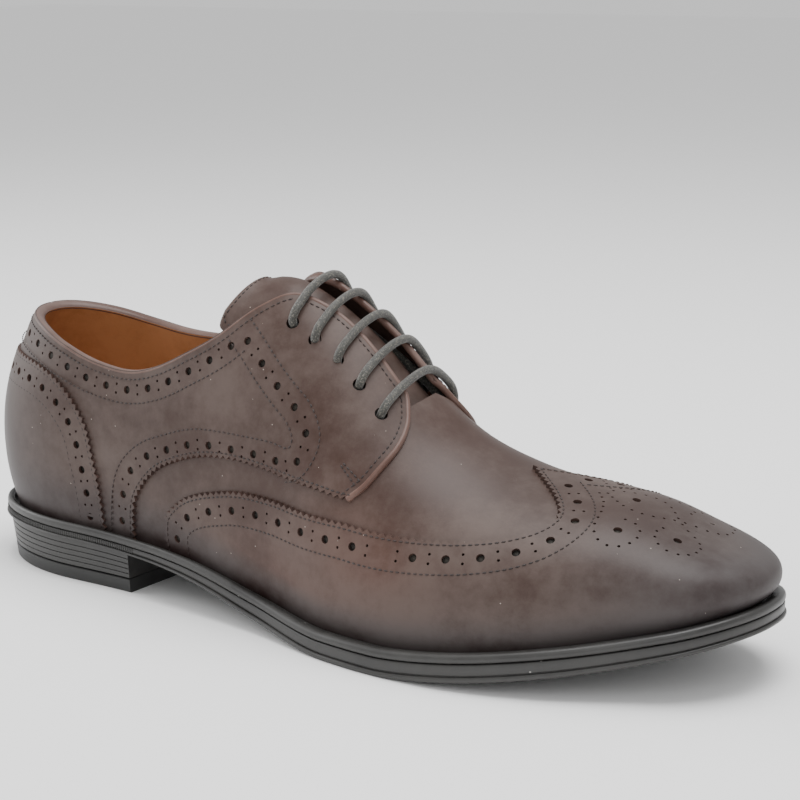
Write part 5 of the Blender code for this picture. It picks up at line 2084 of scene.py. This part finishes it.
@dataclass(frozen=True)
class SoftBox:
    """Square light that faces the shoe."""

    name: str
    place: tuple[float, float, float]
    size: float
    power: float
    aim: tuple[float, float, float] = (0, 0, 0.04)

    def add(self) -> None:
        """Add it to the scene."""
        light = bpy.data.lights.new(self.name, "AREA")
        light.energy = self.power
        light.size = self.size
        box = bpy.data.objects.new(self.name, light)
        turned = (Vector(self.place) - Vector(self.aim)).to_track_quat("Z", "Y").to_matrix().to_4x4()
        box.matrix_world = Matrix.Translation(self.place) @ turned
        bpy.context.scene.collection.objects.link(box)


@dataclass(frozen=True)
class Studio:
    """Camera at the photograph's angle, pale floor and soft light."""

    azimuth: float = 36.0
    elevation: float = 14.36
    roll: float = -0.70
    distance: float = 0.700
    focal_px: float = 2068.1
    frame_px: float = 800.0
    shift_right_px: float = -49.68
    shift_down_px: float = 50.92
    target: tuple[float, float, float] = (0.150, 0.0, 0.055)
    sensor_mm: float = 36.0
    sky: float = 0.8
    floor_grey: float = 0.95
    floor_roughness: float = 0.8
    floor_size: float = 4.0
    lights: tuple[SoftBox, ...] = (
        SoftBox("overhead", (0.1, 0.1, 1.1), 0.8, 15),
        SoftBox("left", (-1.0, -0.2, 0.45), 0.7, 6),
        SoftBox("front", (0.6, -1.0, 0.8), 0.8, 3),
    )

    def place_camera(self, last: Last) -> None:
        """Set up the camera."""
        a, e, r = (math.radians(angle) for angle in (self.azimuth, self.elevation, self.roll))
        back = Vector((math.sin(a) * math.cos(e), -math.cos(a) * math.cos(e), math.sin(e)))
        right = Vector((math.cos(a), math.sin(a), 0))
        up = back.cross(right)
        level = right * math.cos(r) + up * math.sin(r)
        upright = up * math.cos(r) - right * math.sin(r)
        lens = bpy.data.cameras.new("view")
        lens.sensor_width = self.sensor_mm
        lens.lens = self.focal_px * self.sensor_mm / self.frame_px
        lens.shift_x = -self.shift_right_px / self.frame_px
        lens.shift_y = self.shift_down_px / self.frame_px
        camera = bpy.data.objects.new("view", lens)
        place = Vector(self.target) - Vector(last.middle) + back * self.distance
        turned = Matrix((level, upright, back)).transposed().to_4x4()
        camera.matrix_world = Matrix.Translation(place) @ turned
        bpy.context.scene.collection.objects.link(camera)
        bpy.context.scene.camera = camera

    def build(self, last: Last) -> None:
        """Build floor, world, lights and camera."""
        self.place_camera(last)
        world = bpy.data.worlds.new("studio")
        bpy.context.scene.world = world
        world.use_nodes = True
        shade = world.node_tree.nodes["Background"]
        shade.inputs["Color"].default_value = (1, 1, 1, 1)
        shade.inputs["Strength"].default_value = self.sky
        for box in self.lights:
            box.add()
        form = bmesh.new()
        bmesh.ops.create_grid(form, x_segments=2, y_segments=2, size=self.floor_size)
        mesh = bpy.data.meshes.new("floor")
        form.to_mesh(mesh)
        form.free()
        floor = bpy.data.objects.new("floor", mesh)
        bpy.context.scene.collection.objects.link(floor)
        made, _, shader = new_material("pale floor")
        shader.inputs["Base Color"].default_value = (self.floor_grey, self.floor_grey, self.floor_grey, 1)
        shader.inputs["Roughness"].default_value = self.floor_roughness
        mesh.materials.append(made)


def main() -> None:
    """Load the frame and build the shoe piece by piece, logging each piece's count of faces."""
    logging.basicConfig(level=logging.INFO, format="%(name)s: %(message)s")
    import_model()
    last = Last()
    palette = Palette()
    lacing = Lacing(last)
    Studio().build(last)
    Bottom(last).build(palette)
    Upper(last, lacing).build(palette)
    Tongue(last, lacing).build(palette)
    lacing.build(palette.lace)


if __name__ == "__main__":
    main()
